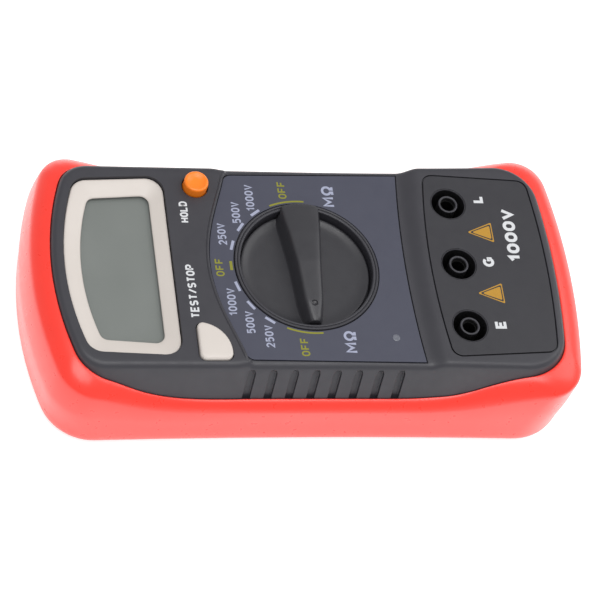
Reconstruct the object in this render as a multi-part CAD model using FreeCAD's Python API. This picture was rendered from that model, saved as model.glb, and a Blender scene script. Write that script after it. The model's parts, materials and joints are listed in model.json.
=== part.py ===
import FreeCAD
import Part
import math
import os

V = FreeCAD.Vector
X_AXIS = V(1, 0, 0)
Y_AXIS = V(0, 1, 0)
Z_AXIS = V(0, 0, 1)

# Frame, in millimetres: x to the reader's right, +y up the face towards the display,
# +z out of the face, z = 0 on the table, and the selector's axis at x = y = 0.

# Overall size: the case at its parting line, without the holster
case_length = 153.6
case_width = 75.2
case_shift_y = -1.0

# Heights of the face, above the table
jack_face_z = 33.0
display_face_z = 31.6
dial_face_z = 30.8

# Case walls, and how far its sides and ends lean in from the parting line to the top
parting_z = 17.0
case_wall = 2.0
case_floor = 2.0
face_thickness = 2.2
shoulder_swell = 0.3
foot_swell = 0.5
side_leans = (6.7, 6.4, 5.1)
end_leans = (3.8, 4.6)
top_end_radius = 85.0
bottom_end_radius = 210.0
case_corner_radius = 8.5
case_bottom_round = 3.0
case_bottom_inset = 1.2

# Holster
holster_floor = 3.0
holster_high_wall = 4.1
holster_low_wall = 3.7
holster_waist_wall = 2.8
holster_swell = 1.3
holster_high_radius = 105.0
holster_low_radius = 195.0
holster_corner_radius = 15.0
holster_bottom_round = 3.5
holster_shoulder_z = 17.0
holster_rim_z = 30.4
holster_rim_lean = 3.1
holster_rim_swell = 0.6
holster_rim_end_lean = 1.2
holster_rim_corner_radius = 10.0
holster_side_rim_z = 20.0
holster_dip_half_length = 33.0
holster_dip_run = 30.5
holster_fit = 0.15
holster_gap = 0.3

# Face details, from the display's end of the case downwards
bezel_end_margin = 6.5
bezel_height = 30.4
bezel_side_margin = 7.9
bezel_narrowing = 1.3
bezel_arc_radius = 82.0
bezel_corner_radius = 5.0
bezel_top_z = 30.6
bezel_flange = 1.1
bezel_flange_thickness = 1.3
bezel_fit = 0.1
window_z = 28.9
window_foot_margin = 4.1
window_head_margin = 5.0
window_side_margin = 5.1
window_arc_radius = 75.0
window_corner_radius = 2.6
window_thickness = 0.9
window_sink = 0.35
window_seat = 1.4
ridge_drop = 8.9
ridge_shoulder_x = 25.0
ridge_shoulder_drop = 14.3
ridge_side_drop = 16.7
ridge_run = 0.7

# Face details, from the jacks' end of the case upwards
panel_end_margin = 6.9
panel_height = 34.6
panel_side_margin = 7.3
panel_narrowing = 1.6
panel_thickness = 0.8
panel_groove = 0.4
panel_top_radius = 210.0
panel_bottom_radius = 230.0
panel_corner_radius = 3.0
ramp_margin = 0.7
ramp_run = 6.0
ramp_side_drop = 2.6
ramp_shoulder_drop = 0.8

# Label around the selector
label_thickness = 0.25
label_recess = 0.2
label_ramp_margin = 0.6
label_ridge_margin = 1.7
label_side_drop = 8.5
label_side_margin_top = 7.2
label_side_margin_bottom = 6.4
label_bottom_radius = 300.0
label_corner_radius = 2.0
label_fit = 0.1

# Selector and its well
knob_gap = 0.5
well_lip_width = 1.7
well_lip_height = 0.35
well_ledge_radius = 16.4
well_ledge_z = 24.9
well_ledge_thickness = 1.2
knob_radius = 18.7
knob_disc_z = 26.4
knob_disc_thickness = 1.6
knob_disc_round = 0.4
knob_top_z = 34.3
knob_foot_flare = 1.0
knob_edge_margin = 0.15
knob_post_radius = 4.5
rotor_gap = 0.8
rotor_thickness = 1.5
rotor_fit = 0.1
detent_step_deg = 18.0
detent_radius = 0.9
ball_radius = 0.85
ball_gap = 0.15
spring_start = 8.1
spring_wire = 0.3
wiper_radii = (6.5, 9.5, 12.5)
wiper_half_length = 3.0
wiper_half_width = 0.6
wiper_foot = 0.4
wiper_thickness = 0.2

# Liquid-crystal display behind the window
lcd_margin = 1.3
lcd_thickness = 1.8
lcd_gap = 0.15
lcd_frame_wall = 1.6
lcd_frame_lip = 0.4
lcd_frame_chamfer = 2.0
zebra_width = 1.6
zebra_inset = 1.8
zebra_end = 3.0

# Circuit board
board_top_z = 24.2
board_thickness = 1.6
board_edge_gap = 1.0

# Test jacks
jack_pitch = 20.5
jack_drop = 8.26
jack_bore_radius = 2.0
jack_tube_radius = 2.5
jack_boss_radius = 2.9
jack_mouth_radius = 2.2
jack_mouth_depth = 1.6
jack_recess_radius = 4.55
jack_bush_radius = 5.2
jack_bush_length = 20.0
jack_bush_floor = 1.6
jack_bore_depth = 16.5
jack_tail_radius = 1.1
jack_tail_length = 2.4
jack_fit = 0.05
strap_width = 3.0
strap_thickness = 0.75
strap_reach = 9.0

# Keys, and the push switches under them
key_travel = 0.9
key_gap = 0.25
key_flange = 0.7
key_flange_thickness = 1.2
key_flange_drop = 0.2
hold_drop = 9.2
hold_side_margin = 11.6
hold_radius = 3.5
hold_top_z = 34.5
hold_round = 0.7
test_drop = 4.5
test_side_margin = 6.6
test_width = 11.8
test_height = 9.0
test_bulge = (9.1, 6.6)
test_corner = 1.8
test_foot_corner = 2.2
test_top_z = 32.9
test_round = 0.6
test_switch_offset = (5.0, 4.2)
switch_size = 6.0
switch_height = 1.8
switch_floor = 0.1
plunger_radius = 1.7

# Battery, its snap and its door
battery_length = 48.5
battery_width = 26.5
battery_height = 17.4
battery_x = -0.3
battery_end_margin = 26.05
battery_round = 1.2
battery_room = 0.6
battery_rib = 1.6
snap_room = 6.2
snap_thickness = 3.1
snap_half_width = 12.5
snap_half_height = 5.5
stud_length = 2.6
studs = ((2.9, -6.35), (3.8, 6.35))
lead_radius = 0.6
lead_bend = 1.5
lead_reach = 2.2
lead_spread = 3.0
door_margin = 2.6
door_thickness = 1.6
door_gap = 0.2
door_ear_length = 5.4
door_ear_half_width = 4.0
door_ear_thickness = 0.8
door_screw_radius = 0.85
door_screw_margin = 3.0

# Fasteners
case_screw_side_margin = 8.6
case_screw_low_side_margin = 11.1
case_screw_high_drop = 29.25
case_screw_low_rise = 12.8
case_boss_radius = 3.0
case_screw_radius = 1.25
case_screw_head_radius = 2.4
case_screw_head_height = 1.8
case_screw_sink = 0.8
case_screw_length = 16.0
board_screw_drop = 17.15
board_screw_rise = 13.3
board_screw_side_margin = 22.1
board_screw_low_x = 12.0
board_post_radius = 2.2
board_screw_radius = 0.95
board_screw_head_radius = 2.0
board_screw_head_height = 1.3
board_screw_length = 5.0
thread_fit = 0.05
screw_hole_fit = 0.2
slot_half_length = 1.3
slot_half_width = 0.25
slot_depth = 0.8

# Grips on the case's sides
grip_count = 8
grip_pitch = 6.15
grip_middle_y = -1.8
grip_width = 1.6
grip_depth = 1.0
grip_top_z = 29.2

# Lamp in the dial section
lamp_side_margin = 7.9
lamp_rise = 6.1
lamp_radius = 1.1
lamp_flange = 0.6
lamp_flange_thickness = 1.4

# Tilt stand in the holster's floor
stand_half_width = 22.0
stand_length = 62.0
stand_hinge_y = 30.0
stand_hinge_z = 1.65
stand_thickness = 2.2
stand_corner_radius = 4.0
stand_rim = 5.0
stand_relief = 0.9
stand_gap = 0.4
stand_tip_gap = 2.0
stand_knuckle_radius = 1.3
stand_pin_radius = 0.7
stand_pin_fit = 0.05
stand_pin_bite = 4.0

# Parts under the circuit board: middle (x, y) and sizes
transformer_spot = (14.0, -14.0)
transformer_side = 16.0
transformer_depth = 13.0
transformer_limb = 2.0
winding_gap = 0.1
winding_bulge = 1.5
capacitor_xs = (-4.0, -14.5)
capacitor_y = -28.0
capacitor_radius = 4.6
capacitor_length = 15.0
measuring_chip_spot = (-6.0, 14.0)
measuring_chip_size = (26.0, 9.0)
measuring_chip_pins = 20
control_chip_spot = (-20.0, -8.0)
control_chip_size = (10.0, 4.0)
control_chip_pins = 8
chip_thickness = 1.9
chip_standoff = 0.15
pin_half_width = 0.2
pin_reach = 1.0
buzzer_spot = (19.5, 12.0)
buzzer_radius = 6.0
buzzer_height = 7.5
buzzer_hole_radius = 1.2
trimmer_side_margin = 11.6
trimmer_ys = (-1.0, 7.0)
trimmer_size = 6.5
trimmer_height = 4.5
trimmer_screw_radius = 1.5
resistor_radius = 1.6
resistor_length = 11.0
resistor_lead = 2.0
resistor_drop = 2.2
resistor_leg_radius = 0.45
wire_radius = 0.35
diode_size = (3.2, 1.6, 1.1)

# Places and levels worked out from the values above
half_width = case_width / 2.0
high_end_y = case_length / 2.0 + case_shift_y
low_end_y = -case_length / 2.0 + case_shift_y
case_bottom_z = holster_floor + holster_gap
case_top_z = jack_face_z + 1.0
floor_z = case_bottom_z + case_floor
board_bottom_z = board_top_z - board_thickness
display_inner_z = display_face_z - face_thickness
dial_inner_z = dial_face_z - face_thickness
ledge_top_z = well_ledge_z + well_ledge_thickness
well_radius = knob_radius + knob_gap
well_lip_radius = well_radius + well_lip_width
knob_disc_top_z = knob_disc_z + knob_disc_thickness
rotor_top_z = knob_disc_z - rotor_fit
rotor_mid_z = rotor_top_z - rotor_thickness / 2.0
rotor_bottom_z = rotor_top_z - rotor_thickness
rotor_radius = well_ledge_radius - rotor_gap
bezel_high_y = high_end_y - bezel_end_margin
bezel_low_y = bezel_high_y - bezel_height
bezel_half_width_low = half_width - bezel_side_margin
bezel_half_width_high = bezel_half_width_low - bezel_narrowing
window_low_y = bezel_low_y + window_foot_margin
window_high_y = bezel_high_y - window_head_margin
window_half_width_low = bezel_half_width_low - window_side_margin
window_half_width_high = bezel_half_width_high - window_side_margin
ridge_mid_y = bezel_low_y - ridge_drop
ridge_shoulder_y = bezel_low_y - ridge_shoulder_drop
ridge_side_y = bezel_low_y - ridge_side_drop
panel_bottom_y = low_end_y + panel_end_margin
panel_top_y = panel_bottom_y + panel_height
panel_half_width_top = half_width - panel_side_margin
panel_half_width_bottom = panel_half_width_top - panel_narrowing
ramp_high_y = panel_top_y + ramp_margin
ramp_low_y = ramp_high_y + ramp_run
label_bottom_y = ramp_low_y + label_ramp_margin
label_top_y = ridge_mid_y - label_ridge_margin
label_top_side_y = label_top_y - label_side_drop
label_half_width_top = half_width - label_side_margin_top
label_half_width_bottom = half_width - label_side_margin_bottom
lcd_half_width = window_half_width_low + lcd_margin
lcd_low_y = window_low_y - lcd_margin
lcd_high_y = window_high_y + lcd_margin
lcd_top_z = window_z - window_sink - window_thickness - lcd_gap
lcd_bottom_z = lcd_top_z - lcd_thickness
zebra_rows = (lcd_low_y + zebra_inset, lcd_high_y - zebra_inset)
jack_y = panel_top_y - jack_drop
jack_spots = ((jack_pitch, "line"), (0.0, "guard"), (-jack_pitch, "earth"))
jack_bush_bottom_z = jack_face_z - jack_bush_length
hold_x = half_width - hold_side_margin
hold_y = bezel_low_y - hold_drop
test_left_x = -half_width + test_side_margin
test_top_y = bezel_low_y - test_drop
test_switch_x = test_left_x + test_switch_offset[0]
test_switch_y = test_top_y - test_switch_offset[1]
key_flange_top_z = display_inner_z - key_flange_drop
key_flange_bottom_z = key_flange_top_z - key_flange_thickness
battery_y = high_end_y - battery_end_margin
battery_bottom_z = case_bottom_z + door_thickness + 0.1
battery_mid_z = battery_bottom_z + battery_height / 2.0
trimmer_x = -half_width + trimmer_side_margin
lamp_x = -label_half_width_bottom + lamp_side_margin
lamp_y = label_bottom_y + lamp_rise
case_screw_high_x = half_width - case_screw_side_margin
case_screw_low_x = half_width - case_screw_low_side_margin
case_screw_high_y = battery_y - case_screw_high_drop
case_screw_low_y = low_end_y + case_screw_low_rise
case_screw_spots = (
    (-case_screw_high_x, case_screw_high_y),
    (case_screw_high_x, case_screw_high_y),
    (-case_screw_low_x, case_screw_low_y),
    (case_screw_low_x, case_screw_low_y),
)
board_screw_high_x = half_width - board_screw_side_margin
board_screw_spots = (
    (-board_screw_high_x, battery_y - board_screw_drop),
    (board_screw_high_x, battery_y - board_screw_drop),
    (-board_screw_low_x, low_end_y + board_screw_rise),
    (board_screw_low_x, low_end_y + board_screw_rise),
)
case_screw_seat_z = case_bottom_z + case_screw_head_height + case_screw_sink
holster_high_y = high_end_y + holster_high_wall
holster_low_y = low_end_y - holster_low_wall
holster_waist = half_width + holster_waist_wall
holster_half_width = holster_waist + holster_swell
above_all = case_top_z + 20.0
well_clear = (parting_z, above_all)


def box(x0, x1, y0, y1, z0, z1):
    return Part.makeBox(x1 - x0, y1 - y0, z1 - z0, V(x0, y0, z0))


def block(x, y, size_x, size_y, z0, z1):
    return box(x - size_x / 2.0, x + size_x / 2.0, y - size_y / 2.0, y + size_y / 2.0, z0, z1)


def rod(radius, x, y, z0, z1):
    return Part.makeCylinder(radius, z1 - z0, V(x, y, z0), Z_AXIS)


def bar(radius, x0, x1, y, z):
    return Part.makeCylinder(radius, x1 - x0, V(x0, y, z), X_AXIS)


def ring(outer, inner, x, y, z0, z1):
    return rod(outer, x, y, z0, z1).cut(rod(inner, x, y, z0 - 1.0, z1 + 1.0))


def group(solids):
    return Part.makeCompound(solids)


def joined(first, others):
    return first.fuse(others).removeSplitter()


def highest(shape):
    return max(shape.Faces, key=lambda face: face.CenterOfMass.z)


def lowest(shape):
    return min(shape.Faces, key=lambda face: face.CenterOfMass.z)


def edges_along(shape, axis):
    return [edge for edge in shape.Edges if abs(edge.tangentAt(edge.FirstParameter).dot(axis)) > 0.9]


def sag(radius, x):
    """How far an arc of this radius falls away from its middle at the distance x."""
    return radius - math.sqrt(radius * radius - x * x)


def arc(start, middle, end):
    return Part.Arc(V(*start, 0), V(*middle, 0), V(*end, 0)).toShape()


def line(start, end):
    return Part.makeLine(V(*start, 0), V(*end, 0))


def rounded(edges, radii, z):
    """A closed wire at height z, with the start corner of each edge rounded by its radius."""
    prism = Part.Face(Part.Wire(edges)).extrude(V(0, 0, 1))
    corners = [edge.Vertexes[0].Point for edge in edges]
    for corner, radius in zip(corners, radii):
        if radius > 0:
            upright = [edge for edge in prism.Edges if is_upright_at(edge, corner)]
            prism = prism.makeFillet(radius, upright)
    wire = lowest(prism).OuterWire.copy()
    wire.translate(V(0, 0, z))
    return wire


def is_upright_at(edge, corner):
    ends = [vertex.Point for vertex in edge.Vertexes]
    if len(ends) != 2 or abs(ends[0].z - ends[1].z) < 0.5:
        return False
    return all(math.hypot(p.x - corner.x, p.y - corner.y) < 1e-4 for p in ends)


def outline(half_widths, y_high, y_low, end_radii, corner_radius, z):
    """Four arcs, for a case-like shape: half_widths are at the top, middle and bottom."""
    wide_high, wide_mid, wide_low = half_widths
    high = y_high - sag(end_radii[0], wide_high)
    low = y_low + sag(end_radii[1], wide_low)
    edges = [
        arc((-wide_high, high), (0, y_high), (wide_high, high)),
        arc((wide_high, high), (wide_mid, 0), (wide_low, low)),
        arc((wide_low, low), (0, y_low), (-wide_low, low)),
        arc((-wide_low, low), (-wide_mid, 0), (-wide_high, high)),
    ]
    return rounded(edges, (corner_radius,) * 4, z)


def arched(top_half, top_y, top_rise, low_half, low_y, low_rise, radii, z):
    """A closed wire with straight sides and an arched head; its foot is an arch or a line."""
    right = (top_half, top_y)
    left = (-top_half, top_y)
    low_right = (low_half, low_y)
    low_left = (-low_half, low_y)
    foot = line(low_right, low_left)
    if low_rise:
        foot = arc(low_right, (0, low_y + low_rise), low_left)
    edges = [
        arc(left, (0, top_y + top_rise), right),
        line(right, low_right),
        foot,
        line(low_left, left),
    ]
    return rounded(edges, radii, z)


def tapered(wires):
    return Part.makeLoft(wires, True, True)


def slab(wire, height):
    return Part.Face(wire).extrude(V(0, 0, height))


def case_outline(z, inset):
    """The case's section at height z, drawn inset from its outer wall."""
    rise = (z - parting_z) / (case_top_z - parting_z)
    swells = (shoulder_swell, 0.0, foot_swell)
    half_widths = [half_width + swell - lean * rise - inset for swell, lean in zip(swells, side_leans)]
    y_high = high_end_y - end_leans[0] * rise - inset
    y_low = low_end_y + end_leans[1] * rise + inset
    ends = (top_end_radius - inset, bottom_end_radius - inset)
    return outline(half_widths, y_high, y_low, ends, case_corner_radius - inset, z)


def case_form(inset, z0, z1):
    return tapered([case_outline(z, inset) for z in (z0, z1)])


def face_cutter(lower):
    """All that lies above the face's three levels, lowered by the given amount."""
    far_y = case_length
    far_x = 1.2 * half_width
    stations = (
        (-far_x, ridge_side_y, ramp_side_drop),
        (-ridge_shoulder_x, ridge_shoulder_y, ramp_shoulder_drop),
        (0.0, ridge_mid_y, 0.0),
        (ridge_shoulder_x, ridge_shoulder_y, ramp_shoulder_drop),
        (far_x, ridge_side_y, ramp_side_drop),
    )
    wires = []
    for x, ridge_y, drop in stations:
        points = [
            V(x, far_y, above_all),
            V(x, far_y, display_face_z - lower),
            V(x, ridge_y, display_face_z - lower),
            V(x, ridge_y - ridge_run, dial_face_z - lower),
            V(x, ramp_low_y - drop, dial_face_z - lower),
            V(x, ramp_high_y - drop, jack_face_z - lower),
            V(x, -far_y, jack_face_z - lower),
            V(x, -far_y, above_all),
        ]
        wires.append(Part.makePolygon(points + [points[0]]))
    return Part.makeLoft(wires, True, False)


def label_outline(grow, z):
    low_rise = sag(label_bottom_radius, label_half_width_bottom)
    radii = (label_corner_radius, label_corner_radius, 0, 0)
    return arched(label_half_width_top + grow, label_top_side_y + grow, label_side_drop,
                  label_half_width_bottom + grow, label_bottom_y - low_rise - grow, low_rise, radii, z)


def panel_outline(grow, z):
    top_rise = sag(panel_top_radius, panel_half_width_top)
    low_rise = -sag(panel_bottom_radius, panel_half_width_bottom)
    radii = (panel_corner_radius + grow,) * 4
    return arched(panel_half_width_top + grow, panel_top_y - top_rise + grow, top_rise,
                  panel_half_width_bottom + grow, panel_bottom_y - low_rise - grow, low_rise, radii, z)


def bezel_outline(grow, z):
    rise = sag(bezel_arc_radius, bezel_half_width_high)
    radii = (bezel_corner_radius + grow,) * 4
    return arched(bezel_half_width_high + grow, bezel_high_y - rise + grow, rise,
                  bezel_half_width_low + grow, bezel_low_y - grow, 0.0, radii, z)


def window_outline(grow, z):
    rise = sag(window_arc_radius, window_half_width_high)
    radii = (window_corner_radius + grow,) * 4
    return arched(window_half_width_high + grow, window_high_y - rise + grow, rise,
                  window_half_width_low + grow, window_low_y - grow, 0.0, radii, z)


def test_key_outline(grow, z):
    """A quarter-round key: a flat top and left side, and a bulging third side."""
    left = (test_left_x - grow, test_top_y + grow)
    right = (test_left_x + test_width + grow, test_top_y + grow)
    foot = (test_left_x - grow, test_top_y - test_height - grow)
    bulge_grow = grow / math.sqrt(2.0)
    bulge = (test_left_x + test_bulge[0] + bulge_grow, test_top_y - test_bulge[1] - bulge_grow)
    edges = [line(left, right), arc(right, bulge, foot), line(foot, left)]
    return rounded(edges, (test_corner + grow, test_corner + grow, test_foot_corner + grow), z)


def grip_cutters():
    """Upright grooves in both side walls, each as deep all the way down its slope."""
    slope = side_leans[1] / (case_top_z - parting_z)
    top_x = half_width - slope * (grip_top_z - parting_z) - grip_depth
    low_z = parting_z - 1.0
    low_x = half_width + slope - grip_depth
    reach = 6.0
    cutters = []
    for index in range(grip_count):
        y = grip_middle_y + (index - (grip_count - 1) / 2.0) * grip_pitch - grip_width / 2.0
        for side in (-1.0, 1.0):
            points = [
                V(side * top_x, y, grip_top_z),
                V(side * (top_x + reach), y, grip_top_z),
                V(side * (low_x + reach), y, low_z),
                V(side * low_x, y, low_z),
            ]
            face = Part.Face(Part.makePolygon(points + [points[0]]))
            cutters.append(face.extrude(V(0, grip_width, 0)))
    return cutters


def detent_cutters():
    """Scallops around the ledge's bore, one at each place where the selector clicks."""
    cutters = []
    for index in range(int(round(360.0 / detent_step_deg))):
        angle = math.radians(index * detent_step_deg)
        x = well_ledge_radius * math.cos(angle)
        y = well_ledge_radius * math.sin(angle)
        cutters.append(rod(detent_radius, x, y, well_ledge_z - 1.0, ledge_top_z + 0.1))
    return cutters


def face_openings():
    """What the front case's face is cut away for: bezel, keys, jacks, lamp and overlays."""
    label_pocket = slab(label_outline(label_fit, dial_face_z - label_recess), 2.0 * label_recess)
    cutters = [
        label_pocket.cut(rod(well_lip_radius, 0, 0, *well_clear)),
        slab(bezel_outline(bezel_fit, display_inner_z - 1.0), 2.0 * face_thickness),
        slab(panel_outline(panel_groove, jack_face_z - panel_thickness), 2.0 * panel_thickness),
        slab(test_key_outline(key_gap, display_inner_z - 1.0), 2.0 * face_thickness),
        rod(hold_radius + key_gap, hold_x, hold_y, *well_clear),
        rod(lamp_radius + jack_fit, lamp_x, lamp_y, *well_clear),
    ]
    cutters += [rod(jack_bush_radius + jack_fit, x, jack_y, *well_clear) for x, name in jack_spots]
    return cutters


def screw_pilots():
    case_top = case_screw_seat_z + case_screw_length + 0.5
    board_top = board_bottom_z + board_screw_length + 0.5
    pilots = [rod(case_screw_radius + thread_fit, x, y, parting_z - 1.0, case_top)
              for x, y in case_screw_spots]
    pilots += [rod(board_screw_radius + thread_fit, x, y, board_top_z - 1.0, board_top)
               for x, y in board_screw_spots]
    return pilots


def front_case():
    body = case_form(0.0, parting_z, case_top_z).cut(face_cutter(0.0))
    hollow = case_form(case_wall, parting_z - 1.0, case_top_z).cut(face_cutter(face_thickness))
    supports = [rod(case_boss_radius, x, y, parting_z, above_all) for x, y in case_screw_spots]
    supports += [rod(board_post_radius, x, y, board_top_z, above_all) for x, y in board_screw_spots]
    supports = [support.common(body) for support in supports]
    lip_top_z = dial_face_z + well_lip_height
    well = ring(well_lip_radius, well_radius, 0, 0, well_ledge_z, lip_top_z)
    ledge = ring(well_radius + 0.5, well_ledge_radius, 0, 0, well_ledge_z, ledge_top_z)
    shell = body.cut(hollow).fuse(supports + [well])
    shell = shell.cut(rod(well_radius, 0, 0, ledge_top_z, above_all)).fuse(ledge)
    return shell.cut(detent_cutters() + grip_cutters() + face_openings() + screw_pilots())


def at_height(wire, z):
    moved = wire.copy()
    moved.translate(V(0, 0, z - wire.BoundBox.ZMin))
    return moved


def case_tub(grow, z0, z1):
    """The rear case's outer form, grown sideways; the holster's hollow is the same form."""
    low = at_height(case_outline(parting_z, case_bottom_inset - grow), z0)
    high = at_height(case_outline(parting_z, -grow), z1)
    tub = tapered([low, high])
    return tub.makeFillet(case_bottom_round, lowest(tub).OuterWire.Edges)


def battery_box(grow):
    half_x = battery_length / 2.0 + grow
    half_y = battery_width / 2.0 + grow
    return battery_x - half_x, battery_x + half_x, battery_y - half_y, battery_y + half_y


def battery_bay(grow, z0, z1):
    """The battery and the room for its snap, grown all round."""
    x0, x1, y0, y1 = battery_box(grow)
    return box(x0, x1 + snap_room, y0, y1, z0, z1)


def door_form(grow, z1):
    """The battery door with its screw ear, grown all round."""
    plate = battery_bay(door_margin + grow, case_bottom_z, z1)
    x0 = battery_box(door_margin)[0]
    ear = box(x0 - door_ear_length - grow, x0 + 1.0, battery_y - door_ear_half_width - grow,
              battery_y + door_ear_half_width + grow, case_bottom_z, case_bottom_z + door_ear_thickness)
    return joined(plate, ear)


def door_screw_x():
    return battery_box(door_margin)[0] - door_screw_margin


def rear_case():
    tub = case_tub(0.0, case_bottom_z, parting_z)
    inner_low = at_height(case_outline(parting_z, case_bottom_inset + case_wall), floor_z)
    inner_high = at_height(case_outline(parting_z, case_wall), parting_z + 1.0)
    tub = tub.cut(tapered([inner_low, inner_high]))
    rib_top_z = parting_z - 1.0
    ribs = battery_bay(battery_room + battery_rib, floor_z - 0.5, rib_top_z)
    ribs = ribs.cut(battery_bay(battery_room, floor_z - 1.0, rib_top_z + 1.0))
    bosses = [rod(case_boss_radius, x, y, floor_z - 0.5, parting_z) for x, y in case_screw_spots]
    tub = tub.fuse(bosses + [ribs])
    door_pocket = door_form(door_gap, case_bottom_z + door_thickness)
    cutters = [door_pocket, battery_bay(battery_room, case_bottom_z, floor_z + 0.1)]
    for x, y in case_screw_spots:
        cutters.append(rod(case_screw_radius + screw_hole_fit, x, y, 0, parting_z + 1.0))
        cutters.append(rod(case_screw_head_radius + screw_hole_fit, x, y, 0, case_screw_seat_z))
    cutters.append(rod(door_screw_radius + thread_fit, door_screw_x(), battery_y, 0, floor_z + 1.0))
    return tub.cut(cutters)


def battery_door():
    door = door_form(0.0, case_bottom_z + door_thickness - 0.1)
    return door.cut(rod(door_screw_radius + screw_hole_fit, door_screw_x(), battery_y, 0, floor_z))


def door_screw():
    return rod(door_screw_radius, door_screw_x(), battery_y, case_bottom_z + 0.1, floor_z - 0.2)


def holster_section(wide, waist, end_lean, corner, z):
    radii = (holster_high_radius, holster_low_radius)
    return outline((wide, waist, wide), holster_high_y - end_lean, holster_low_y + end_lean,
                   radii, corner, z)


def rim_cutter():
    """Cuts the rim down along both sides, where the case's grips are held."""
    low_z = holster_side_rim_z
    top_z = holster_rim_z
    rise = top_z - low_z
    inner = holster_dip_half_length
    outer = inner + holster_dip_run
    radius = (holster_dip_run ** 2 + rise ** 2) / (2.0 * rise)
    half_turn = math.asin(holster_dip_run / radius) / 2.0
    middle_y = inner + radius * math.sin(half_turn)
    middle_z = low_z + radius * (1.0 - math.cos(half_turn))
    far_x = 2.0 * half_width
    slopes = [
        Part.Arc(V(0, side * inner, low_z), V(0, side * middle_y, middle_z), V(0, side * outer, top_z))
        for side in (1.0, -1.0)
    ]
    profile = Part.Wire(Part.__sortEdges__([
        slopes[0].toShape(),
        slopes[1].toShape(),
        Part.makeLine(V(0, -inner, low_z), V(0, inner, low_z)),
        Part.makeLine(V(0, outer, top_z), V(0, outer, above_all)),
        Part.makeLine(V(0, outer, above_all), V(0, -outer, above_all)),
        Part.makeLine(V(0, -outer, above_all), V(0, -outer, top_z)),
    ]))
    cutter = Part.Face(profile).extrude(V(2.0 * far_x, 0, 0))
    cutter.translate(V(-far_x, 0, 0))
    return cutter


def holster():
    low = holster_section(holster_half_width, holster_waist, 0.0, holster_corner_radius, 0.0)
    shoulder = at_height(low, holster_shoulder_z)
    rim_wide = holster_half_width - holster_rim_lean
    rim = holster_section(rim_wide, rim_wide - holster_rim_swell, holster_rim_end_lean,
                          holster_rim_corner_radius, holster_rim_z)
    body = joined(tapered([low, shoulder]), tapered([shoulder, rim]))
    body = body.makeFillet(holster_bottom_round, lowest(body).OuterWire.Edges)
    stand_x = stand_half_width + stand_gap
    stand_low_y = stand_hinge_y - stand_length - stand_tip_gap
    stand_high_y = stand_hinge_y + stand_knuckle_radius + stand_gap
    pin_reach = stand_x + stand_pin_bite
    return body.cut([
        rim_cutter(),
        case_tub(holster_fit, case_bottom_z - holster_fit, parting_z),
        case_form(-holster_fit, parting_z, case_top_z),
        box(-stand_x, stand_x, stand_low_y, stand_high_y, -1.0, case_bottom_z),
        bar(stand_pin_radius + stand_pin_fit, -pin_reach, pin_reach, stand_hinge_y, stand_hinge_z),
    ])


def tilt_stand():
    half = stand_half_width
    low_z = stand_hinge_z - stand_thickness / 2.0
    tip_y = stand_hinge_y - stand_length
    plate = box(-half, half, tip_y, stand_hinge_y, low_z, low_z + stand_thickness)
    tip_corners = [edge for edge in edges_along(plate, Z_AXIS)
                   if edge.CenterOfMass.y < stand_hinge_y - 1.0]
    plate = plate.makeFillet(stand_corner_radius, tip_corners)
    knuckle = bar(stand_knuckle_radius, -half, half, stand_hinge_y, stand_hinge_z)
    relief = box(-half + stand_rim, half - stand_rim, tip_y + stand_rim, stand_hinge_y - stand_rim,
                 low_z - 1.0, low_z + stand_relief)
    bore = bar(stand_pin_radius + stand_pin_fit, -half - 1.0, half + 1.0, stand_hinge_y, stand_hinge_z)
    return joined(plate, knuckle).cut([relief, bore])


def stand_pin():
    reach = stand_half_width + stand_gap + stand_pin_bite - 0.5
    return bar(stand_pin_radius, -reach, reach, stand_hinge_y, stand_hinge_z)


def face_label():
    plate = slab(label_outline(0.0, dial_face_z - label_recess), label_thickness)
    return plate.cut([
        rod(well_lip_radius + jack_fit, 0, 0, *well_clear),
        rod(lamp_radius + jack_fit, lamp_x, lamp_y, *well_clear),
    ])


def jack_panel():
    plate = slab(panel_outline(0.0, jack_face_z - panel_thickness), panel_thickness)
    return plate.cut([rod(jack_bush_radius + jack_fit, x, jack_y, *well_clear) for x, name in jack_spots])


def display_bezel():
    """A dished frame, held behind the face by its flange, with the window's seat at its back."""
    flange_z = display_inner_z - bezel_fit - bezel_flange_thickness
    flange = slab(bezel_outline(bezel_flange, flange_z), bezel_flange_thickness)
    body = joined(slab(bezel_outline(0.0, flange_z), bezel_top_z - flange_z), flange)
    rim_line = 0.5
    dish = tapered([window_outline(0.0, window_z), bezel_outline(-rim_line, bezel_top_z + 0.001)])
    seat_top_z = window_z - window_sink + bezel_fit
    opening = slab(window_outline(0.0, flange_z - 1.0), 4.0)
    seat = slab(window_outline(window_seat + bezel_fit, flange_z - 1.0), seat_top_z - flange_z + 1.0)
    return body.cut([dish, opening, seat])


def display_window():
    return slab(window_outline(window_seat, window_z - window_sink - window_thickness), window_thickness)


def lcd_block(grow, z0, z1):
    return box(-lcd_half_width - grow, lcd_half_width + grow, lcd_low_y - grow, lcd_high_y + grow, z0, z1)


def zebra_block(y, grow, z0, z1):
    reach = lcd_half_width - zebra_end + grow
    half = zebra_width / 2.0 + grow
    return box(-reach, reach, y - half, y + half, z0, z1)


def lcd_panel():
    return lcd_block(0.0, lcd_bottom_z, lcd_top_z)


def lcd_frame():
    body = lcd_block(lcd_frame_wall, board_top_z, lcd_top_z - lcd_frame_lip)
    body = body.makeChamfer(lcd_frame_chamfer, edges_along(body, Z_AXIS))
    pocket = lcd_block(0.1, lcd_bottom_z - 0.1, lcd_top_z + 1.0)
    slots = [zebra_block(y, 0.1, board_top_z - 1.0, lcd_top_z) for y in zebra_rows]
    return body.cut([pocket] + slots)


def zebra_strips():
    return group([zebra_block(y, 0.0, board_top_z, lcd_bottom_z) for y in zebra_rows])


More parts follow.
